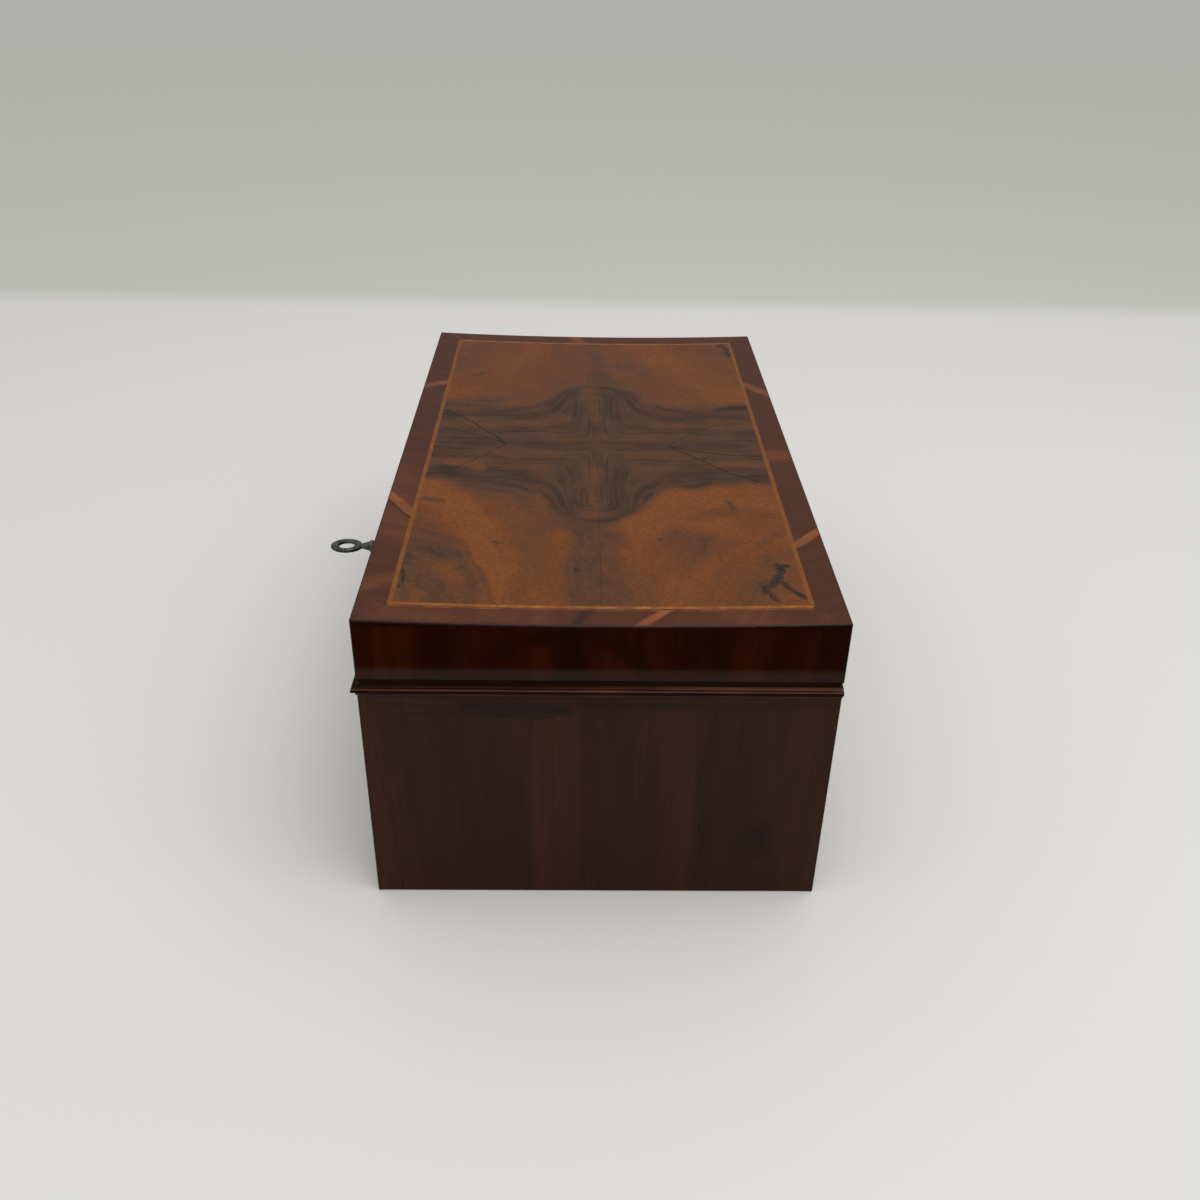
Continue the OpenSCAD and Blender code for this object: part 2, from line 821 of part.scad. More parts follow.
module stringing_front() { color(satin_light) long_strip(-1, banding_w, stringing_w); }
module stringing_back() { color(satin_light) long_strip(1, banding_w, stringing_w); }
module stringing_left() { color(satin_light) end_strip(-1, banding_w, stringing_w); }
module stringing_right() { color(satin_light) end_strip(1, banding_w, stringing_w); }

module long_banding(side) {
    color(banding_red) intersection() {
        long_strip(side, 0, banding_w);
        linear_extrude(box_height + over) plan();
    }
}

module end_banding(side) {
    color(banding_red) intersection() {
        end_strip(side, 0, banding_w);
        linear_extrude(box_height + over) plan();
    }
}

module banding_front() { long_banding(-1); }
module banding_back() { long_banding(1); }
module banding_left() { end_banding(-1); }
module banding_right() { end_banding(1); }

// Link plate, in the underside of the lid

module place_link_screws() {
    for (sx = [-1, 1]) translate([sx * ear_x, lug_y, lid_z]) mirror([0, 0, 1]) children();
}

module staple_blanks() {
    for (sx = [-1, 1])
        block([sx * staple_gap / 2 - staple_t / 2, sx * staple_gap / 2 + staple_t / 2],
              [case_mid - staple_w / 2, case_mid + staple_w / 2], [staple_low, lid_z + plate_t]);
}

module link_plate() {
    color(brass) difference() {
        block([-lock_half_w, lock_half_w], [lock_front, plate_inner], [lid_z, lid_z + plate_t]);
        staple_blanks();
        place_link_screws() screw_body();
    }
}

module link_staples() {
    color(brass) difference() {
        staple_blanks();
        block([-half_x, half_x], [case_mid - eye_y / 2, case_mid + eye_y / 2],
              [tongue_z - eye_z / 2, tongue_z + eye_z / 2]);
    }
}

module link_screws() {
    color(steel) place_link_screws() screw();
}

front_board();
back_board();
left_board();
right_board();
bottom_board();
front_veneer();
back_veneer();
left_veneer();
right_veneer();
front_moulding();
left_moulding();
right_moulding();
lock_backplate();
lock_case();
lock_studs();
lock_drill_pin();
bolt_spring();
lock_screws();
keyhole_liner();
hinge_leaf_lower_left();
hinge_leaf_lower_right();
hinge_pins();
hinge_screws_lower();
lid_panel();
lid_front_rail();
lid_back_rail();
lid_left_rail();
lid_right_rail();
lid_front_veneer();
lid_back_veneer();
lid_left_veneer();
lid_right_veneer();
top_leaf_front_left();
top_leaf_front_right();
top_leaf_back_left();
top_leaf_back_right();
stringing_front();
stringing_back();
stringing_left();
stringing_right();
banding_front();
banding_back();
banding_left();
banding_right();
hinge_leaf_upper_left();
hinge_leaf_upper_right();
hinge_screws_upper();
link_plate();
link_staples();
link_screws();
lock_bolt();
key();
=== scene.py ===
import json
import math

import bmesh
import bpy
import numpy as np
from mathutils import Matrix, Vector


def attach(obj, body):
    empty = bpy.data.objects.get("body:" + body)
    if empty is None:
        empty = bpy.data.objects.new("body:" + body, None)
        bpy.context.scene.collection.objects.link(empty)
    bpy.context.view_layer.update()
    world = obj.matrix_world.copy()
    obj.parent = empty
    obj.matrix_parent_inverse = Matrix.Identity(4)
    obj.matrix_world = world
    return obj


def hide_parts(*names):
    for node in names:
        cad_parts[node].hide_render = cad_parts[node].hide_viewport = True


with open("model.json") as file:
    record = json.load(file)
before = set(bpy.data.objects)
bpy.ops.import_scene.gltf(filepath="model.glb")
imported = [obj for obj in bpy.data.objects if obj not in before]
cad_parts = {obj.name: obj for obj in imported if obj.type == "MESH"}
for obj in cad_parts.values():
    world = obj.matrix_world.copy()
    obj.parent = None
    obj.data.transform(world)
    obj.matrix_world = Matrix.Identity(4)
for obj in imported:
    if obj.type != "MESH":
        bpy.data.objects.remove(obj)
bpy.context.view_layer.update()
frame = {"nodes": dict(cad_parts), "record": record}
nodes = frame["nodes"]
mm = 0.001
print("frame loaded:", len(nodes), "nodes")

# The box's own sizes in millimetres, as the solids have them
casket = {
    "halfX": 175.0, "halfY": 100.0, "height": 147.0, "dish": 2.0, "veneer": 1.0,
    "banding": 13.0, "stringing": 2.0, "lidBottom": 118.0, "caseVeneerTop": 115.8, "lidVeneerTop": 146.0,
    "topArris": 0.9, "bottomArris": 0.95, "lidArris": 0.6, "uprightArris": 0.8,
}


def smoothStep(low, high, value):
    # 0 below low, 1 above high, and 3t^2 - 2t^3 between them
    t = np.clip((value - low) / (high - low), 0, 1)
    return t * t * (3 - 2 * t)


def crown(y):
    # Height of the top: a parabola that is lowest along the middle line
    return casket["height"] - casket["dish"] * (1 - (y / casket["halfY"]) ** 2)


def wornInset(distance, radius):
    # How far a surface lies back at a distance from its edge: a quarter circle of that radius
    inside = np.clip(radius - distance, 0, radius)
    return radius - np.sqrt(radius ** 2 - inside ** 2)


def wornCorner(x, y, radius):
    # Draws points in a corner's last bit of plan in to a quarter circle of that radius
    cx, cy = casket["halfX"] - radius, casket["halfY"] - radius
    dx, dy = np.abs(x) - cx, np.abs(y) - cy
    out = np.hypot(np.maximum(dx, 0), np.maximum(dy, 0))
    pull = np.where((dx > 0) & (dy > 0) & (out > radius), radius / np.maximum(out, 1e-9), 1.0)
    return (np.sign(x) * np.where(dx > 0, cx + dx * pull, np.abs(x)),
            np.sign(y) * np.where(dy > 0, cy + dy * pull, np.abs(y)))


def lineDistance(u, v, points):
    # Distance from each point to a broken line: the least of the distances to its pieces
    best = np.full(u.shape, 1e6)
    for (u0, v0), (u1, v1) in zip(points, points[1:]):
        du, dv = u1 - u0, v1 - v0
        t = np.clip(((u - u0) * du + (v - v0) * dv) / (du * du + dv * dv), 0, 1)
        best = np.minimum(best, np.hypot(u - u0 - t * du, v - v0 - t * dv))
    return best


def veinDistance(u, v, veins):
    # Distance to the nearest drawn dark line, far away where there is none
    best = np.full(u.shape, 50.0)
    for points in veins:
        best = np.minimum(best, lineDistance(u, v, points))
    return best


def paint(u, v, start, strokes):
    # Soft brush strokes laid over each other: each leads the tone to its own value,
    # fully within half - soft of its line and not at all beyond half + soft
    tone = start + 0 * u
    for points, half, soft, value in strokes:
        cover = 1 - smoothStep(half - soft, half + soft, lineDistance(u, v, points))
        tone = tone + (value - tone) * cover
    return tone


def wander(u, v, size, reach):
    # A smooth pseudo-random shift: three sine waves that cross at odd angles
    first = np.sin((u + 1.7 * v) / size + 0.6)
    second = np.sin((1.6 * u - v) / (0.73 * size) + 2.1)
    third = 0.7 * np.sin((0.4 * u + 2.3 * v) / (0.51 * size) + 4.0)
    return reach * (first + second + third) / 2.7


def steps(start, end, size, ends=()):
    # Even steps of about a size, with extra close ones at the given distances from both ends
    even = np.linspace(start, end, max(2, int(round((end - start) / size)) + 1))
    extra = [start + e for e in ends] + [end - e for e in ends]
    return np.unique(np.concatenate([even, extra]))


def finishMesh(name, points, faces, values=None):
    # An object from points in millimetres and faces, with its fields as attributes of the points
    mesh = bpy.data.meshes.new(name)
    mesh.from_pydata((np.asarray(points) * mm).tolist(), [], faces)
    for key, field in (values or {}).items():
        layer = mesh.attributes.new(key, "FLOAT", "POINT")
        layer.data.foreach_set("value", np.asarray(field, np.float32).ravel())
    shaped = bmesh.new()
    shaped.from_mesh(mesh)
    bmesh.ops.recalc_face_normals(shaped, faces=shaped.faces)
    shaped.to_mesh(mesh)
    shaped.free()
    mesh.polygons.foreach_set("use_smooth", [True] * len(mesh.polygons))
    mesh.set_sharp_from_angle(angle=math.radians(32))
    piece = bpy.data.objects.new(name, mesh)
    bpy.context.scene.collection.objects.link(piece)
    return piece


def gridFaces(rows, columns, start=0):
    # Quads of a grid of points that is stored row by row
    i, j = np.meshgrid(np.arange(rows - 1), np.arange(columns - 1), indexing="ij")
    a = (start + i * columns + j).ravel()
    return np.stack([a, a + columns, a + columns + 1, a + 1], 1)


def sheetShell(outer, inner):
    # A closed sheet: an outer and an inner grid of points, and four walls between their borders
    rows, columns = outer.shape[:2]
    count = rows * columns
    border = np.concatenate([
        np.arange(columns), np.arange(1, rows) * columns + columns - 1,
        count - 2 - np.arange(columns - 1), (np.arange(rows - 2)[::-1] + 1) * columns])
    following = np.roll(border, -1)
    walls = np.stack([border, following, following + count, border + count], 1)
    sides = [gridFaces(rows, columns), gridFaces(rows, columns, count)[:, ::-1], walls]
    return np.concatenate([outer.reshape(-1, 3), inner.reshape(-1, 3)]), np.concatenate(sides).tolist()


def loftShell(sections, closed=False):
    # A closed outline carried through stations, sections[station, point], with flat ends or joined round
    stations, outline = sections.shape[:2]
    runs = stations if closed else stations - 1
    i, j = np.meshgrid(np.arange(runs), np.arange(outline), indexing="ij")
    i, j = i.ravel(), j.ravel()
    k, l = (i + 1) % stations, (j + 1) % outline
    faces = np.stack([i * outline + j, k * outline + j, k * outline + l, i * outline + l], 1).tolist()
    if not closed:
        faces += [list(range(outline)), list(range((stations - 1) * outline, stations * outline))]
    return sections.reshape(-1, 3), faces


def joinShells(shells):
    # The points and faces of several closed shells as one mesh
    points, faces, count = [], [], 0
    for shellPoints, shellFaces in shells:
        points.append(shellPoints)
        faces += [[corner + count for corner in face] for face in shellFaces]
        count += len(shellPoints)
    return np.concatenate(points), faces


def dress(piece, body, slot, material, *replaced):
    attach(piece, body)
    if replaced:
        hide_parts(*replaced)
    piece.data.materials.clear()
    piece.data.materials.append(material)


class NodeSketch:
    # Short calls for the nodes of one material or node group
    def __init__(self, tree):
        self.tree = tree
        self.column = 0

    def feed(self, socket, value):
        if isinstance(value, bpy.types.NodeSocket):
            self.tree.links.new(value, socket)
        else:
            socket.default_value = value

    def add(self, kind, inputs, **settings):
        node = self.tree.nodes.new(kind)
        self.column += 1
        node.location = (180 * self.column, -40 * (self.column % 7))
        for key, value in settings.items():
            setattr(node, key, value)
        for key, value in inputs.items():
            self.feed(node.inputs[key], value)
        return node

    def math(self, operation, *values):
        inputs = dict(enumerate(values))
        return self.add("ShaderNodeMath", inputs, operation=operation).outputs[0]

    def between(self, value, low, high, start=0.0, end=1.0):
        # Carries low..high to start..end with soft ends
        ends = {"Value": value, "From Min": low, "From Max": high, "To Min": start, "To Max": end}
        return self.add("ShaderNodeMapRange", ends, interpolation_type="SMOOTHSTEP").outputs["Result"]

    def noise(self, vector, scale=1.0, detail=3.0, rough=0.5):
        values = {"Vector": vector, "Scale": scale, "Detail": detail, "Roughness": rough}
        return self.add("ShaderNodeTexNoise", values).outputs["Fac"]

    def stretched(self, x, y, sizes, z):
        # A place for a noise, whose first two axes are measured in the pattern's own sizes
        across, along = self.math("DIVIDE", x, sizes[0]), self.math("DIVIDE", y, sizes[1])
        return self.add("ShaderNodeCombineXYZ", {0: across, 1: along, 2: z}).outputs[0]

    def shifted(self, value, noise, reach):
        # A value moved to and fro by a noise about the noise's middle
        return self.math("MULTIPLY_ADD", self.math("SUBTRACT", noise, 0.5), reach, value)

    def attribute(self, name):
        return self.add("ShaderNodeAttribute", {}, attribute_name=name).outputs["Fac"]

    def place(self):
        # Object coordinates in millimetres, whole and split
        found = self.add("ShaderNodeTexCoord", {}).outputs["Object"]
        whole = self.add("ShaderNodeVectorMath", {0: found, "Scale": 1000.0}, operation="SCALE").outputs[0]
        split = self.add("ShaderNodeSeparateXYZ", {0: whole}).outputs
        return whole, split[0], split[1], split[2]

    def ramp(self, factor, stops):
        node = self.add("ShaderNodeValToRGB", {"Fac": factor})
        band = node.color_ramp
        while len(band.elements) < len(stops):
            band.elements.new(1.0)
        for element, (position, colour) in zip(band.elements, stops):
            element.position = position
            element.color = (*colour, 1.0)
        return node.outputs["Color"]

    def mix(self, factor, a, b):
        node = self.add("ShaderNodeMix", {}, data_type="RGBA")
        self.feed(node.inputs["Factor"], factor)
        colourInputs = [socket for socket in node.inputs if socket.type == "RGBA"]
        for socket, value in zip(colourInputs, (a, b)):
            self.feed(socket, value if isinstance(value, bpy.types.NodeSocket) else (*value, 1.0))
        return [socket for socket in node.outputs if socket.type == "RGBA"][0]

    def tinted(self, base, mask, depth, colour):
        # A colour laid over the base by a mask, at most to the given depth
        return self.mix(self.math("MULTIPLY", mask, depth), base, colour)

    def bump(self, height, strength, distance):
        node = self.add("ShaderNodeBump", {"Strength": strength, "Distance": distance, "Height": height})
        return node.outputs["Normal"]

    def group(self, tree, **inputs):
        return self.add("ShaderNodeGroup", inputs, node_tree=tree).outputs


def newGroup(name, inputs, outputs):
    # A node group with its named sockets; one without a start value takes a vector
    tree = bpy.data.node_groups.new(name, "ShaderNodeTree")
    for key, start in inputs.items():
        kind = "NodeSocketVector" if start is None else "NodeSocketFloat"
        socket = tree.interface.new_socket(name=key, in_out="INPUT", socket_type=kind)
        if start is not None:
            socket.default_value = start
    for key in outputs:
        tree.interface.new_socket(name=key, in_out="OUTPUT", socket_type="NodeSocketFloat")
    sketch = NodeSketch(tree)
    return tree, sketch, tree.nodes.new("NodeGroupInput").outputs, tree.nodes.new("NodeGroupOutput").inputs


# Grain of a veneer, from millimetres across and along it: broad streaks, fine lines and short pores.
# Each has its sizes across and along, its offset in the noise, the noise's detail and roughness, and its mask.
veneerLayers = {
    "Streak": {"sizes": (7.0, 75.0), "offset": 0.0, "detail": 4.0, "rough": 0.55, "mask": (0.3, 0.7)},
    "Line": {"sizes": (1.1, 38.0), "offset": 5.3, "detail": 3.0, "rough": 0.6, "mask": (0.42, 0.72)},
    "Pore": {"sizes": (0.28, 2.6), "offset": 9.1, "detail": 2.0, "rough": 0.6, "mask": (0.6, 0.7)},
}


def makeVeneerGrain():
    tree, s, given, made = newGroup("veneerGrain", {"Across": 0.0, "Along": 0.0, "Seed": 0.0}, veneerLayers)
    for name, layer in veneerLayers.items():
        seed = s.math("ADD", given["Seed"], layer["offset"])
        place = s.stretched(given["Across"], given["Along"], layer["sizes"], seed)
        noise = s.noise(place, detail=layer["detail"], rough=layer["rough"])
        s.feed(made[name], s.between(noise, *layer["mask"]))
    return tree


# Hand-rubbed shellac: a faint ripple of the surface and cloudy, slightly duller places
shellac = {
    "ripple": 0.09, "rub": 0.9, "rubShare": 0.06, "haze": 0.035, "hazeMask": (0.35, 0.7),
    "rough": 0.5, "hazeRough": 0.12, "bump": 0.12, "bumpDepth": 0.0006, "index": 1.5,
}


def makePolish():
    tree, s, given, made = newGroup("polish", {"Place": None}, ["Ripple", "Haze"])
    ripple = s.noise(given["Place"], shellac["ripple"], 2.0, 0.4)
    rubbed = s.noise(given["Place"], shellac["rub"], 2.0, 0.5)
    haze = s.noise(given["Place"], shellac["haze"], 5.0, 0.6)
    s.feed(made["Ripple"], s.math("MULTIPLY_ADD", rubbed, shellac["rubShare"], ripple))
    s.feed(made["Haze"], s.between(haze, *shellac["hazeMask"]))
    return tree


# Tarnish on metal: brown clouds and small dark specks, which are rough and less metallic
wear = {
    "cloudMask": (0.35, 0.7), "speckMask": (0.58, 0.72), "speckScale": 9.0, "speckMetal": -0.5,
    "fineScale": 2.2, "bump": 0.25, "bumpDepth": 0.0001,
}


def makeTarnish():
    tree, s, given, made = newGroup("tarnish", {"Place": None, "Size": 0.3}, ["Cloud", "Speck"])
    clouds = s.noise(given["Place"], given["Size"], 5.0, 0.6)
    specks = s.noise(given["Place"], s.math("MULTIPLY", given["Size"], wear["speckScale"]), 3.0, 0.6)
    s.feed(made["Cloud"], s.between(clouds, *wear["cloudMask"]))
    s.feed(made["Speck"], s.between(specks, *wear["speckMask"]))
    return tree


veneerGrain = makeVeneerGrain()
polish = makePolish()
tarnish = makeTarnish()


def newMaterial(name):
    material = bpy.data.materials.new(name)
    material.use_nodes = True
    tree = material.node_tree
    return material, NodeSketch(tree), tree.nodes["Principled BSDF"].inputs


def swayedGrain(s, whole, across, along, look):
    # The grain group on a place across that sways slowly and ripples finely
    sway = s.noise(s.stretched(across, along, look["swaySizes"], look["seed"]))
    ripple = s.noise(whole, look["rippleScale"], look["rippleDetail"])
    swayed = s.shifted(s.shifted(across, sway, look["sway"]), ripple, look["fineSway"])
    return swayed, ripple, s.group(veneerGrain, Across=swayed, Along=along, Seed=look["seed"])


def tintedByTone(s, colour, tone, look):
    # Strokes above zero lead to the light colour, strokes below zero to the dark one
    lighter = s.mix(s.math("MAXIMUM", tone, 0.0), colour, look["light"])
    return s.mix(s.math("MAXIMUM", s.math("MULTIPLY", tone, -1.0), 0.0), lighter, look["dark"])


def finishPolish(s, shader, whole, look, colour, vein):
    # Dark lines over the wood's colour, and over both the shellac: a hard clear coat on a dull base
    edge = s.shifted(vein, s.noise(whole, look["edgeScale"]), look["veinWander"])
    lines = s.between(edge, look["veinHalf"], look["veinCore"])
    surface = s.group(polish, Place=whole)
    s.feed(shader["Base Color"], s.tinted(colour, lines, look["veinDepth"], look["veinColour"]))
    rough = s.math("MULTIPLY_ADD", surface["Haze"], shellac["hazeRough"], shellac["rough"])
    s.feed(shader["Roughness"], rough)
    s.feed(shader["Normal"], s.bump(surface["Ripple"], shellac["bump"], shellac["bumpDepth"]))
    shader["Specular IOR Level"].default_value = 0.0
    shader["Coat Weight"].default_value = look["coat"]
    shader["Coat Roughness"].default_value = look["coatRoughness"]
    shader["Coat IOR"].default_value = shellac["index"]


# Straight-grained polished wood. The grain follows the piece's own fields, and its tone leads from the
# streaks to the light colour above zero and to the dark one below it. A solid without fields of its own
# gets upright grain in matched leaves of the given width.
def walnutMaterial(name, look, leaf=None):
    material, s, shader = newMaterial(name)
    whole, x, _, z = s.place()
    if leaf:
        across, along = s.math("PINGPONG", x, leaf), z
        tone = s.math("SUBTRACT", s.math("SINE", s.math("DIVIDE", across, look["waveLength"])), 0.5)
        vein = s.math("MINIMUM", across, s.math("SUBTRACT", leaf, across))
    else:
        across, along, tone, vein = (s.attribute(key) for key in ("across", "along", "tone", "vein"))
    _, _, grain = swayedGrain(s, whole, across, along, look)
    uneven = s.math("MULTIPLY", tone, s.math("MULTIPLY_ADD", grain["Streak"], *look["toneByStreak"]))
    base = tintedByTone(s, s.ramp(grain["Streak"], look["streaks"]), uneven, look)
    lined = s.tinted(base, grain["Line"], look["lineDepth"], look["lineColour"])
    pored = s.tinted(lined, grain["Pore"], look["poreDepth"], look["poreColour"])
    finishPolish(s, shader, whole, look, pored, vein)
    return material


# The matched top. Its tone field runs from the black-brown of the heart (-1) to the amber of the lobes (1),
# and the growth lines are strong where it is dark and give way to short pores where it is light.
def figuredMaterial(name, look):
    material, s, shader = newMaterial(name)
    whole, x, y, _ = s.place()
    across, along, tone, vein = (s.attribute(key) for key in ("across", "along", "tone", "vein"))
    swayed, ripple, grain = swayedGrain(s, whole, across, along, look)
    mottle = s.noise(whole, look["mottleScale"], 5.0, 0.6)
    level = s.shifted(s.math("MULTIPLY_ADD", tone, 0.5, 0.5), grain["Streak"], look["streak"])
    level = s.shifted(level, mottle, look["mottle"])
    dark = s.between(level, *look["darkMask"])
    rings = s.noise(s.stretched(swayed, along, look["ringSizes"], look["ringSeed"]), 1.0, 2.0, 0.6)
    ringed = s.math("MULTIPLY", s.between(rings, *look["ringMask"]), dark)
    base = s.ramp(s.math("MULTIPLY_ADD", ringed, -look["ring"], level), look["tones"])
    lineDepth = s.math("MULTIPLY_ADD", dark, look["lineDepth"], look["lineLeast"])
    lined = s.tinted(base, grain["Line"], lineDepth, look["lineColour"])
    slope = s.math("MULTIPLY_ADD", s.math("ABSOLUTE", y), look["poreLean"], x)  # pores lean away from the seam
    slope = s.math("MULTIPLY_ADD", ripple, look["poreSway"], slope)
    pores = s.noise(s.stretched(slope, y, look["poreSizes"], look["poreSeed"]), 1.0, 2.0, 0.5)
    pored = s.tinted(lined, s.between(pores, *look["poreMask"]), look["poreDepth"], look["poreColour"])
    finishPolish(s, shader, whole, look, pored, vein)
    return material


# Bare softwood of the case and lid, browned by age, and painted near black with shade where the rim stands
# open outside, in the gap under the lid.
# Its grain runs the long way of the box or, for the end boards, the short way.
def pineMaterial(name, look, longWay=True):
    material, s, shader = newMaterial(name)
    whole, x, y, z = s.place()
    # painted shade: the rim's outer edge, seen in the gap under the lid, is laid near black
    outX = s.math("SUBTRACT", s.math("ABSOLUTE", x), casket["halfX"] - look["gapShadeDepth"])
    outY = s.math("SUBTRACT", s.math("ABSOLUTE", y), casket["halfY"] - look["gapShadeDepth"])
    shadedRim = s.between(s.math("MAXIMUM", outX, outY), *look["gapShadeMask"])
    along, across = (x, s.math("ADD", y, z)) if longWay else (y, s.math("ADD", x, z))
    sway = s.noise(s.stretched(across, along, look["swaySizes"], look["swaySeed"]))
    swayed = s.math("MULTIPLY_ADD", sway, look["sway"], across)
    grain = s.group(veneerGrain, Across=swayed, Along=along, Seed=look["seed"])
    lined = s.tinted(s.ramp(grain["Streak"], look["streaks"]), grain["Line"], look["lineDepth"], look["line"])
    blotches = s.noise(whole, look["ageScale"], 5.0, 0.65)
    aged = s.mix(s.between(blotches, *look["ageMask"], 0.0, look["ageDepth"]), lined, look["aged"])
    s.feed(shader["Base Color"], s.tinted(aged, shadedRim, look["gapShadeShare"], look["gapShade"]))
    s.feed(shader["Roughness"], s.math("MULTIPLY_ADD", grain["Line"], look["lineRough"], look["rough"]))
    s.feed(shader["Normal"], s.bump(grain["Line"], look["bump"], look["bumpDepth"]))
    shader["Specular IOR Level"].default_value = look["specular"]
    return material


def metalMaterial(name, look):
    material, s, shader = newMaterial(name)
    whole = s.place()[0]
    age = s.group(tarnish, Place=whole, Size=look["size"])
    clouded = s.mix(age["Cloud"], look["bright"], look["dull"])
    s.feed(shader["Base Color"], s.tinted(clouded, age["Speck"], look["speckDepth"], look["speck"]))
    s.feed(shader["Roughness"], s.math("MULTIPLY_ADD", age["Cloud"], look["roughSpan"], look["rough"]))
    s.feed(shader["Metallic"], s.math("MULTIPLY_ADD", age["Speck"], wear["speckMetal"], look["metallic"]))
    height = s.math("ADD", s.noise(whole, wear["fineScale"]), age["Speck"])
    s.feed(shader["Normal"], s.bump(height, wear["bump"], wear["bumpDepth"]))
    return material


topLook = {
    "seed": 1.0, "sway": 5.0, "swaySizes": (26.0, 34.0), "fineSway": 2.0, "rippleScale": 0.13,
    "rippleDetail": 3.0, "streak": 0.18, "mottle": 0.36, "mottleScale": 0.07, "darkMask": (0.66, 0.40),
    "ring": 0.17, "ringSizes": (1.5, 60.0), "ringSeed": 31.0, "ringMask": (0.45, 0.62),
    "tones": [
        (0.00, (0.012, 0.007, 0.005)), (0.18, (0.034, 0.016, 0.010)), (0.38, (0.072, 0.030, 0.014)),
        (0.55, (0.105, 0.037, 0.012)), (0.75, (0.136, 0.040, 0.009)), (1.00, (0.180, 0.051, 0.008))],
    "lineColour": (0.026, 0.013, 0.009), "lineDepth": 0.45, "lineLeast": 0.10,
    "poreColour": (0.045, 0.016, 0.006), "poreDepth": 0.48, "poreSizes": (0.5, 3.0), "poreSeed": 3.0,
    "poreMask": (0.48, 0.62), "poreLean": 0.28, "poreSway": 2.0,
    "veinColour": (0.006, 0.004, 0.003), "veinDepth": 0.9, "veinHalf": 0.75, "veinCore": 0.15,
    "veinWander": 0.6, "edgeScale": 0.45, "coat": 0.30, "coatRoughness": 0.07,
}
plainLook = {  # what the straight-grained veneers share
    "swaySizes": (30.0, 40.0), "rippleScale": 0.12, "rippleDetail": 2.0, "edgeScale": 0.35, "veinCore": 0.0,
    "toneByStreak": (0.5, 0.75), "waveLength": 6.0, "coat": 0.30, "coatRoughness": 0.07,
}
bandLook = {
    **plainLook, "seed": 7.0, "sway": 7.0, "fineSway": 1.2,
    "streaks": [
        (0.0, (0.061, 0.0175, 0.0080)), (0.5, (0.069, 0.0195, 0.0086)), (1.0, (0.080, 0.0225, 0.0092))],
    "light": (0.215, 0.068, 0.020), "dark": (0.012, 0.006, 0.004),
    "lineColour": (0.040, 0.014, 0.007), "lineDepth": 0.22,
    "poreColour": (0.045, 0.016, 0.008), "poreDepth": 0.25,
    "veinColour": (0.020, 0.009, 0.006), "veinDepth": 0.75, "veinHalf": 0.35, "veinWander": 0.15,
}
stringLook = {
    **plainLook, "seed": 11.0, "sway": 1.0, "fineSway": 0.3,
    "streaks": [(0.0, (0.175, 0.056, 0.009)), (0.6, (0.240, 0.077, 0.011)), (1.0, (0.300, 0.104, 0.016))],
    "light": (0.42, 0.17, 0.03), "dark": (0.07, 0.025, 0.008),
    "lineColour": (0.16, 0.052, 0.010), "lineDepth": 0.3,
    "poreColour": (0.10, 0.035, 0.008), "poreDepth": 0.15,
    "veinColour": (0.03, 0.012, 0.005), "veinDepth": 0.75, "veinHalf": 0.2, "veinWander": 0.1,
}
bodyLook = {
    **plainLook, "seed": 15.0, "sway": 5.0, "fineSway": 1.2,
    "streaks": [
        (0.0, (0.0235, 0.0055, 0.0021)), (0.5, (0.0275, 0.0065, 0.0024)), (1.0, (0.0320, 0.0078, 0.0028))],
    "light": (0.056, 0.0112, 0.0034), "dark": (0.008, 0.0028, 0.0016),
    "lineColour": (0.014, 0.0036, 0.0016), "lineDepth": 0.4,
    "poreColour": (0.013, 0.0035, 0.0016), "poreDepth": 0.3,
    "veinColour": (0.007, 0.002, 0.001), "veinDepth": 0.8, "veinHalf": 0.7, "veinWander": 0.5,
    "coatRoughness": 0.05,
}
lidLook = {
    **bodyLook, "seed": 19.0,
    "streaks": [
        (0.0, (0.016, 0.0024, 0.0007)), (0.5, (0.022, 0.0034, 0.0008)), (1.0, (0.029, 0.0046, 0.0009))],
}
# on the moulding the light colour is a painted highlight and the dark colour painted shade
mouldLook = {
    **plainLook, "seed": 23.0, "sway": 1.0, "fineSway": 0.3,
    "streaks": [
        (0.0, (0.018, 0.0045, 0.0020)), (0.5, (0.028, 0.0070, 0.0028)), (1.0, (0.042, 0.0110, 0.0040))],
    "light": (0.140, 0.066, 0.046), "dark": (0.003, 0.0010, 0.0006),
    "lineColour": (0.012, 0.004, 0.002), "lineDepth": 0.4,
    "poreColour": (0.012, 0.004, 0.002), "poreDepth": 0.3,
    "veinColour": (0.01, 0.004, 0.002), "veinDepth": 0.0, "veinHalf": 0.2, "veinWander": 0.1,
    "coat": 0.10, "coatRoughness": 0.1,
}
pineLook = {
    "seed": 4.0, "sway": 16.0, "swaySizes": (30.0, 130.0), "swaySeed": 2.0,
    "streaks": [(0.0, (0.30, 0.16, 0.065)), (0.5, (0.38, 0.215, 0.095)), (1.0, (0.46, 0.28, 0.13))],
    "line": (0.22, 0.105, 0.040), "lineDepth": 0.55, "aged": (0.20, 0.10, 0.045), "ageDepth": 0.6,
    "ageScale": 0.02, "ageMask": (0.45, 0.75),
    # painted shade on the rim's outer edge in the gap under the lid: its near-black colour, share, depth in
    # from the face and mask
    "gapShade": (0.002, 0.0012, 0.0009), "gapShadeShare": 0.97, "gapShadeDepth": 1.6, "gapShadeMask": (-0.4, 0.2),
    "rough": 0.68, "lineRough": 0.15, "bump": 0.2, "bumpDepth": 0.0003, "specular": 0.1,
}
leafWidth = 58.3  # of the matched veneer leaves on the long sides

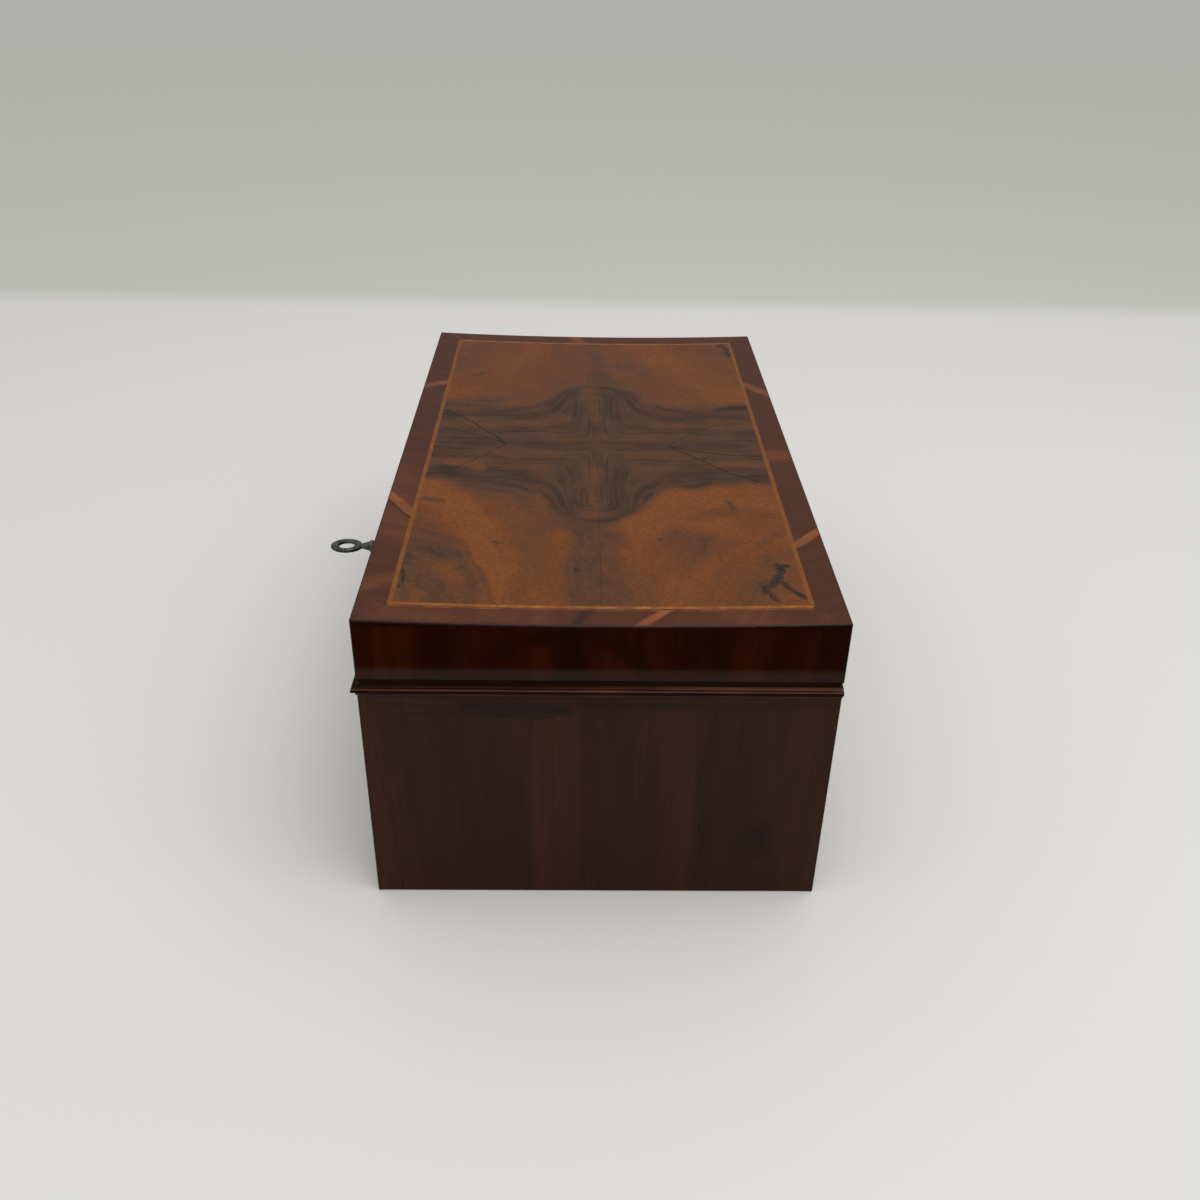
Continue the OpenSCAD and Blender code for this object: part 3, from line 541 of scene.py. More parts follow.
topWalnut = figuredMaterial("topWalnut", topLook)
crossbandWood = walnutMaterial("crossbandWood", bandLook)
stringWood = walnutMaterial("stringWood", stringLook)
bodyWalnut = walnutMaterial("bodyWalnut", bodyLook)
lidWalnut = walnutMaterial("lidWalnut", lidLook)
mouldWood = walnutMaterial("mouldWood", mouldLook)
lidBackWalnut = walnutMaterial("lidBackWalnut", lidLook, leafWidth)
agedPine = pineMaterial("agedPine", pineLook)
agedPineEnd = pineMaterial("agedPineEnd", pineLook, longWay=False)
agedBrass = metalMaterial("agedBrass", {
    "bright": (0.55, 0.36, 0.13), "dull": (0.23, 0.14, 0.055), "speck": (0.05, 0.035, 0.02),
    "speckDepth": 0.6, "size": 0.12, "rough": 0.3, "roughSpan": 0.22, "metallic": 1.0})
dullSteel = metalMaterial("dullSteel", {
    "bright": (0.32, 0.31, 0.30), "dull": (0.13, 0.12, 0.115), "speck": (0.06, 0.03, 0.015),
    "speckDepth": 0.7, "size": 0.3, "rough": 0.36, "roughSpan": 0.2, "metallic": 1.0})
keySteel = metalMaterial("keySteel", {
    "bright": (0.105, 0.105, 0.096), "dull": (0.040, 0.039, 0.036), "speck": (0.02, 0.014, 0.010),
    "speckDepth": 0.75, "size": 0.35, "rough": 0.38, "roughSpan": 0.2, "metallic": 0.9})
print("materials made")


# Tones painted over the growth figure of the top, in millimetres from the middle. A stroke has its points
# (X, Y), half width, soft edge and tone. The heart's strokes stay within it, and the four lobes' outside it.
topFigure = {
    "heart": [  # within the dark heart
        ([(-2, -86), (-2, -10)], 6.0, 7.0, -0.30), ([(-2, 10), (-2, 86)], 6.0, 7.0, -0.28),
        ([(-45, -13), (-70, -15), (-91, -15)], 5.5, 8.0, -0.36),
        ([(-45, 14), (-70, 17), (-91, 18)], 7.0, 8.0, -0.36),
        ([(40, -16), (62, -17), (85, -15)], 4.0, 7.0, -0.36),
        ([(36, 10), (60, 11), (88, 11)], 5.0, 7.0, -0.34),
        ([(22, -78), (20, -45), (26, -26)], 4.0, 4.0, 0.06),
        ([(22, 84), (20, 45), (26, 26)], 4.0, 4.0, 0.0),
        ([(-30, -70), (-28, -44), (-34, -20)], 5.0, 4.0, 0.06), ([(-28, 80), (-28, 30)], 5.0, 4.0, -0.04),
        ([(-84, -4), (-40, -2)], 4.0, 5.0, 0.06), ([(34, -3), (80, -3)], 5.0, 6.0, 0.12),
        ([(24, -72), (30, -60)], 4.0, 4.0, 0.36), ([(-80, -6), (-66, -5)], 2.0, 3.0, 0.22),
    ],
    "nearLeft": [
        ([(52, -84), (66, -72), (84, -62), (122, -45), (158, -33)], 11.0, 6.0, 0.95),
        ([(60, -24), (92, -31), (126, -32), (158, -34)], 4.0, 5.0, 0.28),
        ([(100, -17), (128, -22), (158, -24)], 5.0, 5.0, 0.66), ([(98, -6), (158, -6)], 6.5, 5.0, -0.06),
        ([(107, -84), (120, -72), (140, -66), (160, -62)], 13.0, 3.0, 0.02),
        ([(102, -68), (114, -58), (128, -53), (144, -48), (160, -45)], 0.9, 2.2, -0.04),
        ([(50, -47), (60, -38), (76, -26)], 5.0, 9.0, -0.16), ([(58, -24), (92, -34)], 4.0, 5.0, 0.16),
        ([(66, -83), (69, -76)], 1.6, 2.5, -0.35), ([(124, -85), (140, -83), (158, -82)], 2.0, 4.0, -0.12),
        ([(132, -66), (140, -62)], 3.0, 4.0, 0.60),
    ],
    "nearRight": [
        ([(88, 22), (66, 36), (60, 60), (62, 84)], 13.0, 6.0, 0.88),
        ([(86, 40), (96, 70), (92, 84)], 12.0, 7.0, 0.78),
        ([(98, 12), (120, 18), (150, 30)], 10.0, 6.0, 0.82),
        ([(106, 84), (118, 62), (140, 44), (156, 30)], 8.0, 6.0, 0.78),
        ([(128, 60), (158, 46)], 9.0, 7.0, 0.38), ([(98, 37), (102, 45), (112, 44)], 6.0, 7.0, 0.12),
        ([(118, 36), (132, 32)], 3.0, 6.0, 0.25), ([(136, 14), (158, 16)], 7.0, 6.0, 0.32),
        ([(98, 5), (158, 5)], 5.0, 4.0, 0.0), ([(66, 61), (75, 62)], 1.6, 2.4, -0.45),
        ([(76, 56), (82, 44)], 2.0, 4.0, 0.15), ([(96, 84), (102, 76), (106, 72)], 2.0, 3.0, 0.05),
        ([(122, 74), (130, 72), (146, 64), (160, 58)], 4.0, 6.0, -0.04),
        ([(44, 84), (40, 68)], 4.0, 4.0, -0.50),
    ],
    "farLeft": [
        ([(-70, -82), (-92, -66), (-124, -46), (-160, -34)], 12.0, 8.0, 0.58),
        ([(-120, -84), (-140, -70), (-160, -62)], 11.0, 7.0, 0.22),
        ([(-100, -72), (-106, -66)], 2.0, 3.0, 0.10), ([(-100, -16), (-160, -18)], 8.0, 6.0, 0.30),
        ([(-56, -78), (-64, -56), (-76, -34)], 6.0, 6.0, 0.10), ([(-104, 0), (-160, 0)], 3.0, 7.0, 0.0),
    ],
    "farRight": [
        ([(-68, 80), (-97, 62), (-130, 42), (-160, 24)], 14.0, 7.0, 0.72),
        ([(-132, 84), (-148, 70), (-160, 62)], 10.0, 4.0, 0.18),
        ([(-106, 28), (-114, 30)], 2.5, 4.0, -0.05), ([(-60, 27), (-72, 34), (-88, 40)], 4.0, 6.0, 0.12),
        ([(-136, 83), (-150, 82), (-160, 81)], 2.0, 2.0, -0.45), ([(-52, 84), (-50, 70)], 4.0, 4.0, -0.65),
        ([(-100, 12), (-160, 12)], 4.0, 4.0, 0.30),
    ],
    "knots": [
        ([(30, -79), (36, -72)], 4.0, 4.0, -0.6), ([(101, 27), (102, 28)], 0.7, 0.8, -0.9),
        ([(130, -10), (131, -9)], 0.7, 0.8, -0.8), ([(107, -48), (108, -46)], 0.6, 0.8, -0.7),
        ([(129, -60), (130, -59)], 0.6, 0.8, -0.6), ([(81, 82), (82, 82)], 0.6, 0.6, -0.8),
        ([(-42, -84), (-36, -78)], 3.0, 3.0, -0.5),
    ],
    "veins": [  # cracks and joints
        [(-2, -48), (-28, -67), (-44, -83)], [(-2, -48), (14, -58), (30, -71), (38, -82)],
        [(-1, 36), (-21, 56), (-41, 78)], [(-1, 36), (21, 56), (34, 66), (44, 80)],
        [(-2, -48), (-14, -68), (-20, -84)], [(-1, 36), (10, 60), (14, 84)],
    ],
    "bark": [  # black-edged inclusions near the corners, with the half width of each stroke
        ([(127, 76), (134, 76.5), (140, 75.5), (147, 79), (154, 84)], 1.0), ([(127, 76), (128, 81)], 0.8),
        ([(134, 77), (139, 74), (144, 72), (146, 69)], 1.2), ([(146, 69), (152, 71), (156, 72)], 0.9),
        ([(146, 69), (150, 68)], 0.8), ([(128, 78), (133, 79)], 0.6),
        ([(133, -84), (141, -83.2), (149, -84)], 0.05),
    ],
}
growth = {
    "along": 18.0, "across": 38.0, "power": 2.7,  # reach of the lines along the seams, and their squareness
    "archFrom": 60.0, "archTo": 96.0, "arch": 26.0,  # where the heart closes over the long seam
    "lineAt": [0.0, 0.35, 0.7, 0.95, 1.08, 1.25, 1.55, 3.0],
    "tone": [-0.12, -0.14, -0.20, -0.28, -0.32, -0.14, 0.26, 0.42],  # the ground tone at those lines
    "heartEnd": (1.0, 1.3), "lobesStart": (1.02, 1.32), "barkTone": -0.52, "barkEdge": (-0.3, 0.9),
    "slowX": (13.0, 2.2), "slowY": (11.0, 2.0), "fineX": (3.7, 0.5), "fineY": (4.1, 0.5),  # size, reach
    "seamNear": 0.42, "seamFar": 0.6, "seamCross": 0.62,  # the seams, fainter with more
}


def growthLine(a, b):
    # Which growth line passes a point, for distances a from the long seam and b from the cross seam:
    # a smooth least of the two, so that the lines run along the seam and sweep out to the sides.
    # Past the heart, a grows at right angles to itself, so that the lines close over the seam in a flat arch.
    arch = growth["arch"] * smoothStep(growth["archFrom"], growth["archTo"], b)
    u = (np.hypot(a, arch) + 0.4) / growth["along"]
    v = (b + 0.8) / growth["across"]
    power = growth["power"]
    return (u ** -power + v ** -power) ** (-1 / power)


def topFields(x, y):
    # Grain, tone and dark lines of the top at points in plan. The figure is drawn on a place that wanders
    # a little, so that no line of it is straight.
    a, b = np.abs(y), np.abs(x)
    shiftX, shiftY = wander(x, y, *growth["slowX"]), wander(y, x, *growth["slowY"])
    fineX, fineY = wander(x + 50, y, *growth["fineX"]), wander(y, x + 20, *growth["fineY"])
    px, py = x + shiftX + fineX, y + shiftY + fineY
    line = growthLine(np.abs(a + shiftY * np.sign(y)), np.abs(b + shiftX * np.sign(x)))
    ground = np.interp(line, growth["lineAt"], growth["tone"])
    inHeart = 1 - smoothStep(*growth["heartEnd"], line)
    tone = ground + (paint(px, py, ground, topFigure["heart"]) - ground) * inHeart
    for part in ("nearLeft", "nearRight", "farLeft", "farRight"):
        painted = paint(px, py, tone, topFigure[part])
        tone = tone + (painted - tone) * smoothStep(*growth["lobesStart"], line)
    tone = paint(px, py, tone, topFigure["knots"])
    u, v = x + fineX, y + fineY
    bark = np.min([lineDistance(u, v, points) - half for points, half in topFigure["bark"]], axis=0)
    tone = tone + (growth["barkTone"] - tone) * (1 - smoothStep(*growth["barkEdge"], bark))
    seam = np.minimum(a + np.where(x > 20, growth["seamNear"], growth["seamFar"]), b + growth["seamCross"])
    vein = np.minimum(np.minimum(veinDistance(u, v, topFigure["veins"]), np.abs(bark) + 0.2), seam)
    along = b - a + 0.8 * np.sign(x) + 1.6 * np.sign(y)  # a step at each seam parts the leaves' grain
    return {"across": growth["along"] * growthLine(a, b), "along": along, "tone": tone, "vein": vein}


def topLeaf(name, node, xEnds, yEnds):
    # One quarter of the top: the crown's surface over a rectangle, with the same 1 mm below it.
    # Points on a seam take the fields of their own leaf, from just inside it.
    x, y = np.meshgrid(steps(*xEnds, 1.0), steps(*yEnds, 1.0), indexing="ij")
    outer = np.stack([x, y, crown(y)], -1)
    points, faces = sheetShell(outer, outer - [0, 0, 0.99])
    plan = points[:, :2]
    inside = plan + 1e-6 * np.sign([np.mean(xEnds), np.mean(yEnds)] - plan)
    piece = finishMesh(name, points, faces, topFields(*inside.T))
    dress(piece, "lid", "top_veneer", topWalnut, node)


edgeIn = casket["banding"] + casket["stringing"]
leafX, leafY = casket["halfX"] - edgeIn, casket["halfY"] - edgeIn
for along, yEnds in (("Front", (-leafY, 0)), ("Back", (0, leafY))):
    for across, xEnds in (("Left", (-leafX, 0)), ("Right", (0, leafX))):
        node = "_".join(["top_leaf", along.lower(), across.lower()])
        topLeaf("topLeaf" + along + across, node, xEnds, yEnds)
print("top leaves made")


# Light sapwood streaks, dark wedges and a small knot of the banding, in millimetres from the middle
bandFigure = [
    ([(40, -101), (110, -87)], 16.0, 14.0, 0.12), ([(62, -101), (82, -87)], 3.0, 0.8, 0.85),
    ([(66.5, -101), (86.5, -87)], 0.5, 0.5, -0.6), ([(-77, -101), (-87, -87)], 3.0, 1.6, 0.60),
    ([(-88, 87), (-70, 101)], 3.2, 1.6, 0.65), ([(94, 101), (109, 87)], 2.8, 0.8, 0.75),
    ([(90.5, 101), (105.5, 87)], 0.4, 0.4, -0.5), ([(176, 14), (161, 28)], 1.9, 0.6, 0.85),
    ([(176, -11), (161, -5)], 2.2, 1.8, -0.65), ([(161.8, 25), (161.9, 32)], 0.7, 0.5, -1.0),
    ([(14, 87), (14, 101)], 7.0, 5.0, 0.30), ([(-176, -14), (-161, -8)], 3.0, 3.0, 0.45),
    ([(150, -101), (140, -87)], 5.0, 4.0, 0.22), ([(166, -90), (176, -60)], 6.0, 6.0, 0.15),
    ([(-20, -101), (-30, -87)], 9.0, 8.0, -0.22), ([(-130, 101), (-118, 87)], 7.0, 6.0, -0.25),
    ([(50, 101), (62, 87)], 8.0, 7.0, -0.22), ([(176, 62), (161, 55)], 9.0, 8.0, 0.20),
    ([(120, -101), (124, -87)], 9.0, 8.0, -0.18), ([(168, -45), (170, -25)], 5.0, 6.0, 0.15),
    ([(162.6, -86), (162.6, 86)], 0.3, 0.35, 0.95),
]
strip = {
    "wander": (5.0, 0.35), "lean": 0.35,  # how the figure wavers, and how askew the grain crosses the strip
    "longSideShade": {"crossbanding": -0.14, "stringing": -0.4},  # painted shade: the strips on the long sides are darker, as the sheen falls on them otherwise
    # painted shade on the banding's rounded outer edge: its tone and how far round the edge it reaches
    "longShift": 31.0, "arrisShade": -0.9, "arrisShadeTurn": (0.35, 1.1), "under": 0.995,
    "mitre": (0.8, -0.05), "innerJoint": 0.15, "stringJoint": 0.1,  # how plainly the joints show
}


def mitredStrip(name, node, slot, material, inset, width, long, side, arris=0.0):
    # A strip of the frame on the top. Its section, from the outer lower corner over the worn edge to the
    # inner lower corner, is carried along the strip, and its ends are cut back as far as each point is in.
    angles = np.linspace(0, math.pi / 2, 7)
    edge = [(arris - arris * math.cos(t), arris - arris * math.sin(t)) for t in angles] if arris else [(0, 0)]
    across = [(d, 0.0) for d in np.linspace(arris, width, 9 if width < 5 else 15)[1:]]
    section = np.array([(0, casket["veneer"])] + edge + across + [(width, casket["veneer"])])
    reach = (casket["halfX"] if long else casket["halfY"]) - inset
    along = steps(-1, 1, 1.0 / reach)
    depth = np.broadcast_to(section[None, :, 0], (len(along), len(section)))
    drop = np.broadcast_to(section[None, :, 1], depth.shape)
    s = along[:, None] * (reach - depth)
    if long:
        x, y = s, side * (casket["halfY"] - inset - depth)
    else:
        x, y = side * (casket["halfX"] - inset - depth), s
    if arris:  # the outer corners of the banding follow the worn upright edges
        x, y = wornCorner(x, y, casket["uprightArris"])
    # the joints at the mitres and edges are dark lines, and the banding's outer edge has none
    mitre = np.abs(np.abs(s) - (reach - depth)) * strip["mitre"][0] + strip["mitre"][1]
    if arris:
        edges = width - depth + strip["innerJoint"]
    else:
        edges = np.minimum(depth, width - depth) + strip["stringJoint"]
    # the strips on the long sides start from painted shade
    start = strip["longSideShade"][slot] if long else 0.0
    tone = paint(x + wander(x, y, *strip["wander"]), y, start, bandFigure if arris else [])
    if arris:  # the turned-down edge is painted dark: painted shade on the rounded arris
        turned = 1 - smoothStep(*strip["arrisShadeTurn"], depth / arris)
        tone = tone + (strip["arrisShade"] - tone) * turned
    run, over = (x, y) if long else (y, x)
    run = run + strip["lean"] * side * over + (strip["longShift"] if long else 0.0)
    fields = {"across": run, "along": over, "tone": tone, "vein": np.minimum(mitre, edges)}
    points, faces = loftShell(np.stack([x, y, crown(y) - drop * strip["under"]], -1))
    dress(finishMesh(name, points, faces, fields), "lid", slot, material, node)


for place, long, side in (("front", True, -1), ("back", True, 1), ("left", False, -1), ("right", False, 1)):
    mitredStrip("banding" + place.title(), "banding_" + place, "crossbanding", crossbandWood,
                0.0, casket["banding"], long, side, casket["topArris"])
    mitredStrip("stringing" + place.title(), "stringing_" + place, "stringing", stringWood,
                casket["banding"], casket["stringing"], long, side)
print("banding and stringing made")


# Figure of the ends of case and lid, in millimetres: Y across the end, Z up
caseEnd = {
    "strokes": [
        ([(60, -9), (56, 130)], 12.0, 10.0, -0.20), ([(-60, -9), (-56, 130)], 14.0, 11.0, -0.18),
        ([(8, -9), (6, 130)], 8.0, 6.0, -0.12), ([(88, -9), (90, 130)], 5.0, 5.0, 0.15),
        ([(-18.5, -9), (-18.5, 130)], 10.4, 0.6, 0.30), ([(-25, -9), (-24, 130)], 3.0, 3.0, 0.42),
        ([(-97, -9), (-98, 130)], 5.0, 2.0, 0.42), ([(38, -9), (34, 55), (36, 130)], 7.0, 6.0, 0.30),
        ([(48, -9), (46, 60), (50, 130)], 3.0, 3.5, -0.30), ([(72, 27), (72, 37)], 5.0, 5.0, -0.80),
        # painted shade: the dark band right across at 106.5, under the moulding; the thin strokes near it are
        # streaks
        ([(-93, 3), (-74, 3)], 4.0, 7.0, 0.34), ([(-101, 106.5), (101, 106.5)], 2.2, 3.4, -0.45),
        ([(-98, 108.5), (-62, 107)], 1.2, 1.5, 0.35), ([(-98, 104.5), (-76, 103)], 1.4, 1.8, 0.32),
        ([(-56, 105), (-14, 103.2)], 2.2, 2.6, -0.95), ([(-44, 100.6), (-20, 99.6)], 0.7, 1.4, -0.8),
        ([(-82, 101.6), (-40, 100.8)], 0.4, 0.5, -0.7), ([(-66, 109.3), (30, 109.4)], 0.3, 0.5, -0.9),
        ([(-10, 106.4), (36, 106.8)], 0.6, 0.8, -0.75), ([(-8, 104.4), (34, 104.8)], 0.3, 0.5, -0.6),
        ([(-2, 102.6), (26, 102.9)], 0.3, 0.5, -0.5), ([(12, 108.2), (70, 108.4)], 0.5, 0.7, 0.3),
    ],
    "veins": [
        [(-29, -9), (-29, 130)], [(50, -9), (46, 30), (43, 60), (46, 85), (50, 120)],
        [(-88, -9), (-90, 30), (-94, 70), (-97, 130)],
    ],
}
lidEnd = {
    "strokes": [
        ([(60, 112), (57, 150)], 10.0, 8.0, 0.18), ([(-82, 112), (-84, 150)], 9.0, 8.0, 0.32),
        ([(-24, 112), (-24, 150)], 3.6, 1.4, 0.45), ([(10, 112), (8, 132)], 7.0, 6.0, 0.25),
        ([(-50, 114), (-43, 130), (-32, 138), (-10, 141), (6, 137), (16, 128), (22, 114)], 2.6, 3.6, -0.50),
        ([(-13, 112), (-13, 150)], 4.0, 2.0, -0.75), ([(42, 112), (44, 150)], 8.0, 7.0, -0.40),
        ([(-66, 112), (-65, 150)], 7.0, 6.0, -0.40), ([(94, 112), (94, 150)], 4.0, 4.0, -0.45),
        # painted shade: a dark line along the top of the lid end, under the rounded arris
        ([(-101, 145.4), (101, 145.4)], 1.1, 1.2, -0.80),
    ],
    "veins": [[(-29, 112), (-29, 150)]],
}
longFigure = [  # across one matched leaf and up
    ([(6, -9), (10, 150)], 4.0, 5.0, 0.35), ([(22, -9), (17, 150)], 3.0, 4.0, -0.40),
    ([(36, -9), (40, 150)], 6.0, 6.0, 0.22), ([(52, -9), (50, 150)], 4.0, 5.0, -0.25),
    # painted shade: the dark band at 106.5, under the moulding
    ([(0, 106.5), (60, 106.5)], 1.6, 3.0, -0.45),
]
sideWaver = (6.0, 0.5)  # size and reach of the wavering of these strokes


def endFields(points, figure, side):
    # An end's grain runs up, and its figure is drawn across (Y, turned over on the left end) and up
    across, along = side * points[:, 1], points[:, 2]
    shift = wander(points[:, 1], 0.3 * along, *sideWaver)
    return {"across": across, "along": along, "tone": paint(across + shift, along, 0.0, figure["strokes"]),
            "vein": veinDistance(across, along, figure["veins"])}


def longFields(points, shift):
    # Leaves matched like the pages of a book: the distance across runs up and down again over each leaf
    along = points[:, 2]
    folded = np.abs((points[:, 0] + shift) % (2 * leafWidth) - leafWidth)
    tone = paint(folded + wander(folded, 0.3 * along, *sideWaver), along, 0.0, longFigure)
    joint = np.minimum(folded, leafWidth - folded) + 0.35
    return {"across": folded, "along": along, "tone": tone, "vein": joint}


def upperEdge(top, s):
    # Height of a veneer's upper edge: level, or along the crown where no height is given
    return crown(s) - casket["veneer"] if top is None else top + 0 * s


def sideShell(long, side, bottom, top, wear, ends=None):
    # One outer face: a grid along the side and up, drawn in by quarter circles at its worn lower edge and,
    # on the long sides, at its ends, which form the box's upright edges. Its back is flat, 1 mm in.
    reach = casket["halfX"] if long else casket["halfY"] - casket["veneer"]
    s = steps(*(ends or (-reach, reach)), 1.5, (0.05, 0.2, 0.5, 0.9))
    wornRows = bottom + np.array([0, 0.03, 0.1, 0.25, 0.5, 0.8, 1.2])
    underMouldRows = np.arange(99.0, 111.0, 0.4)  # closer where thin streaks and a band of painted shade are painted under the moulding
    rise = np.unique(np.concatenate([wornRows, np.linspace(bottom + 2, 200, 132), underMouldRows]))
    s, z = np.meshgrid(s, rise[(rise >= bottom) & (rise < upperEdge(top, 0.0) - 0.4)], indexing="ij")
    z = np.concatenate([z, upperEdge(top, s[:, :1])], 1)
    s = np.concatenate([s, s[:, :1]], 1)
    inset = wornInset(z - bottom, wear)
    if long:
        inset = np.maximum(inset, wornInset(reach - np.abs(s), casket["uprightArris"]))
    face = casket["halfY"] if long else casket["halfX"]
    out, back = side * (face - inset), side * (face - casket["veneer"]) + 0 * s
    outer = np.stack([s, out, z] if long else [out, s, z], -1)
    inner = np.stack([s, back, z] if long else [back, s, z], -1)
    return sheetShell(outer, inner)


keyhole = {"height": 84.0, "round": 3.5, "slotHalf": 2.3, "slotDown": 8.6, "patchHalf": 14.0}


def keyholePatch(side):
    # Round the keyhole: stations run round its outline, and each joins the outline to a square about it
    angle = np.linspace(0, 2 * math.pi, 97)[:-1]
    dx, dz = np.sin(angle), np.cos(angle)
    toRound = np.full(angle.shape, keyhole["round"])
    toSide = keyhole["slotHalf"] / np.maximum(np.abs(dx), 1e-9)
    toSlot = np.minimum(toSide, keyhole["slotDown"] / np.maximum(-dz, 1e-9))
    hole = np.where((dz < 0) & (toSlot > toRound), toSlot, toRound)
    square = keyhole["patchHalf"] / np.maximum(np.abs(dx), np.abs(dz))
    distance = hole[:, None] + (square - hole)[:, None] * np.linspace(0, 1, 8)[None, :]
    x, z = distance * dx[:, None], keyhole["height"] + distance * dz[:, None]
    face = np.stack([x, np.full(x.shape, side * casket["halfY"]), z], -1)
    back = face - np.array([0, side * casket["veneer"], 0])
    return loftShell(np.concatenate([face, back[:, ::-1]], 1), closed=True)


def sidePiece(name, node, shells, fieldsOf, *given):
    # A veneer from its shells, on the case or on the lid by its node's name
    points, faces = joinShells(shells)
    piece = finishMesh(name, points, faces, fieldsOf(points, *given))
    if node.startswith("lid"):
        dress(piece, "lid", "lid_veneer", lidWalnut, node)
    else:
        dress(piece, "case", "case_veneer", bodyWalnut, node)


caseTop, caseWear = casket["caseVeneerTop"], casket["bottomArris"]
lidLow, lidWear = casket["lidBottom"], casket["lidArris"]
half, middle, full = keyhole["patchHalf"], keyhole["height"], casket["halfX"]
for place, side in (("Right", 1), ("Left", -1)):
    node = place.lower() + "_veneer"
    shell = sideShell(False, side, 0.0, caseTop, caseWear)
    sidePiece("caseEnd" + place, node, [shell], endFields, caseEnd, side)
    shell = sideShell(False, side, lidLow, None, lidWear)
    sidePiece("lidEnd" + place, "lid_" + node, [shell], endFields, lidEnd, side)
frontShells = [
    sideShell(True, -1, 0.0, caseTop, caseWear, (-full, -half)),
    sideShell(True, -1, 0.0, caseTop, caseWear, (half, full)),
    sideShell(True, -1, 0.0, middle - half, caseWear, (-half, half)),
    sideShell(True, -1, middle + half, caseTop, 0.001, (-half, half)), keyholePatch(-1)]
sidePiece("caseFront", "front_veneer", frontShells, longFields, 0.0)
sidePiece("caseBack", "back_veneer", [sideShell(True, 1, 0.0, caseTop, caseWear)], longFields, 20.0)
lidShell = sideShell(True, -1, lidLow, casket["lidVeneerTop"], lidWear)
sidePiece("lidFront", "lid_front_veneer", [lidShell], longFields, 0.0)
print("side veneers made")


# The section's sizes, the painted highlight and painted shade at points of its outline, the hollow's painted
# light along the side, and the first point of the hollow
moulding = {
    "base": 110.8, "filletHigh": 1.7, "filletOut": 0.5, "bead": 1.1, "cove": 1.1, "softEdge": 0.15,
    "paintedLightAt": [0, 1, 2, 3, 4, 5, 12, 14, 17, 19, 21, 22, 30],
    "tone": [-0.8, -0.6, 0.1, 0.45, -0.4, -0.95, -0.9, -0.4, 0.5, 0.1, -0.5, -0.5, -0.4],
    "hollowFrom": 22, "hollowPaintedLight": (-0.1, 0.95), "hollowLightTurn": (-50, 60), "uneven": 0.12,
}


def mouldingOutline():
    # Section of the moulding as distances out and up: fillet, half-round bead, hollow
    m = moulding
    beadTurn = np.radians(np.linspace(-90, 90, 17))
    coveTurn = np.radians(np.linspace(262, 180, 9))
    soft = m["softEdge"]
    corner = [(0.0, 0.0), (m["filletOut"] - soft, 0.0), (m["filletOut"] - 0.04, 0.04), (m["filletOut"], soft),
              (m["filletOut"], m["filletHigh"])]
    beadMid = m["filletHigh"] + m["bead"]
    bead = [(m["cove"] + m["bead"] * math.cos(t), beadMid + m["bead"] * math.sin(t)) for t in beadTurn]
    high = m["filletHigh"] + 2 * m["bead"] + m["cove"]
    cove = [(m["cove"] + m["cove"] * math.cos(t), high + m["cove"] * math.sin(t)) for t in coveTurn]
    return np.array(corner + bead + cove)


def mouldingPiece(name, node, long, side):
    # The section carried along a side. At a front corner each point runs on as far as it stands out (a mitre),
    # and at the back it is cut square.
    outline = mouldingOutline()
    out, up = outline[:, 0], outline[:, 1] + moulding["base"]
    halfX, halfY = casket["halfX"], casket["halfY"]
    t = np.linspace(0, 1, 141)[:, None]
    if long:
        x = (2 * t - 1) * (halfX + out)
        y = np.broadcast_to(-halfY - out, x.shape)
    else:
        y = -halfY - out + t * (2 * halfY + out)
        x = np.broadcast_to(side * (halfX + out), y.shape)
    z = np.broadcast_to(up, x.shape)
    # painted highlight on the bead's shoulder and the fillet's edge, painted shade under the bead,
    # and the hollow painted lighter towards the back, in painted shade towards the front
    order = np.arange(len(out))
    tone = np.interp(order, moulding["paintedLightAt"], moulding["tone"])[None, :]
    hollow = (order >= moulding["hollowFrom"])[None, :]
    low, span = moulding["hollowPaintedLight"]
    tone = tone + hollow * (low + span * smoothStep(*moulding["hollowLightTurn"], y))
    tone = tone + wander(x + y, 0 * x, 9.0, moulding["uneven"])
    fields = {"across": z * 2.0 + out[None, :], "along": x + y, "tone": np.clip(tone, -1, 1),
              "vein": np.full(x.shape, 50.0)}
    points, faces = loftShell(np.stack([x, y, z], -1))
    dress(finishMesh(name, points, faces, fields), "case", "moulding", mouldWood, node)


mouldingPiece("mouldingFront", "front_moulding", True, 0)
mouldingPiece("mouldingLeft", "left_moulding", False, -1)
mouldingPiece("mouldingRight", "right_moulding", False, 1)
print("mouldings made")


key = {
    "height": 84.0, "bowMid": -136.75, "bowOut": (8.75, 6.75), "bowIn": (4.25, 3.85), "bowHalf": 1.1,
    # the stem and its collar: distance in from the box's face and radius, ending along the pipe inside
    "stem": [(10.9, 2.2), (10.7, 2.4), (-21.2, 2.4), (-21.7, 2.75), (-22.0, 3.1), (-22.5, 3.2), (-23.5, 3.2),
             (-24.0, 3.1), (-24.3, 2.75), (-24.7, 2.45), (-26.0, 2.0), (-28.0, 1.35), (-29.6, 0.95),
             (-30.4, 0.6), (-30.5, 0.0), (-1.1, 0.0), (-1.0, 1.01), (10.9, 1.01)],
    "neckFrom": -24.7, "neckLength": 5.0, "neckSpread": 0.9,
    # the bit: depth, share of its thickness and reach, with the ward cut where the reach is less
    "bit": [(-95.9, 0.9, 7.3), (-95.7, 1.0, 7.5), (-94.8, 1.0, 7.5), (-94.8, 1.0, 5.5), (-93.8, 1.0, 5.5),
            (-93.8, 1.0, 7.5), (-91.2, 1.0, 7.5), (-91.0, 0.9, 7.3)],
    "bitHalf": 1.2,
}


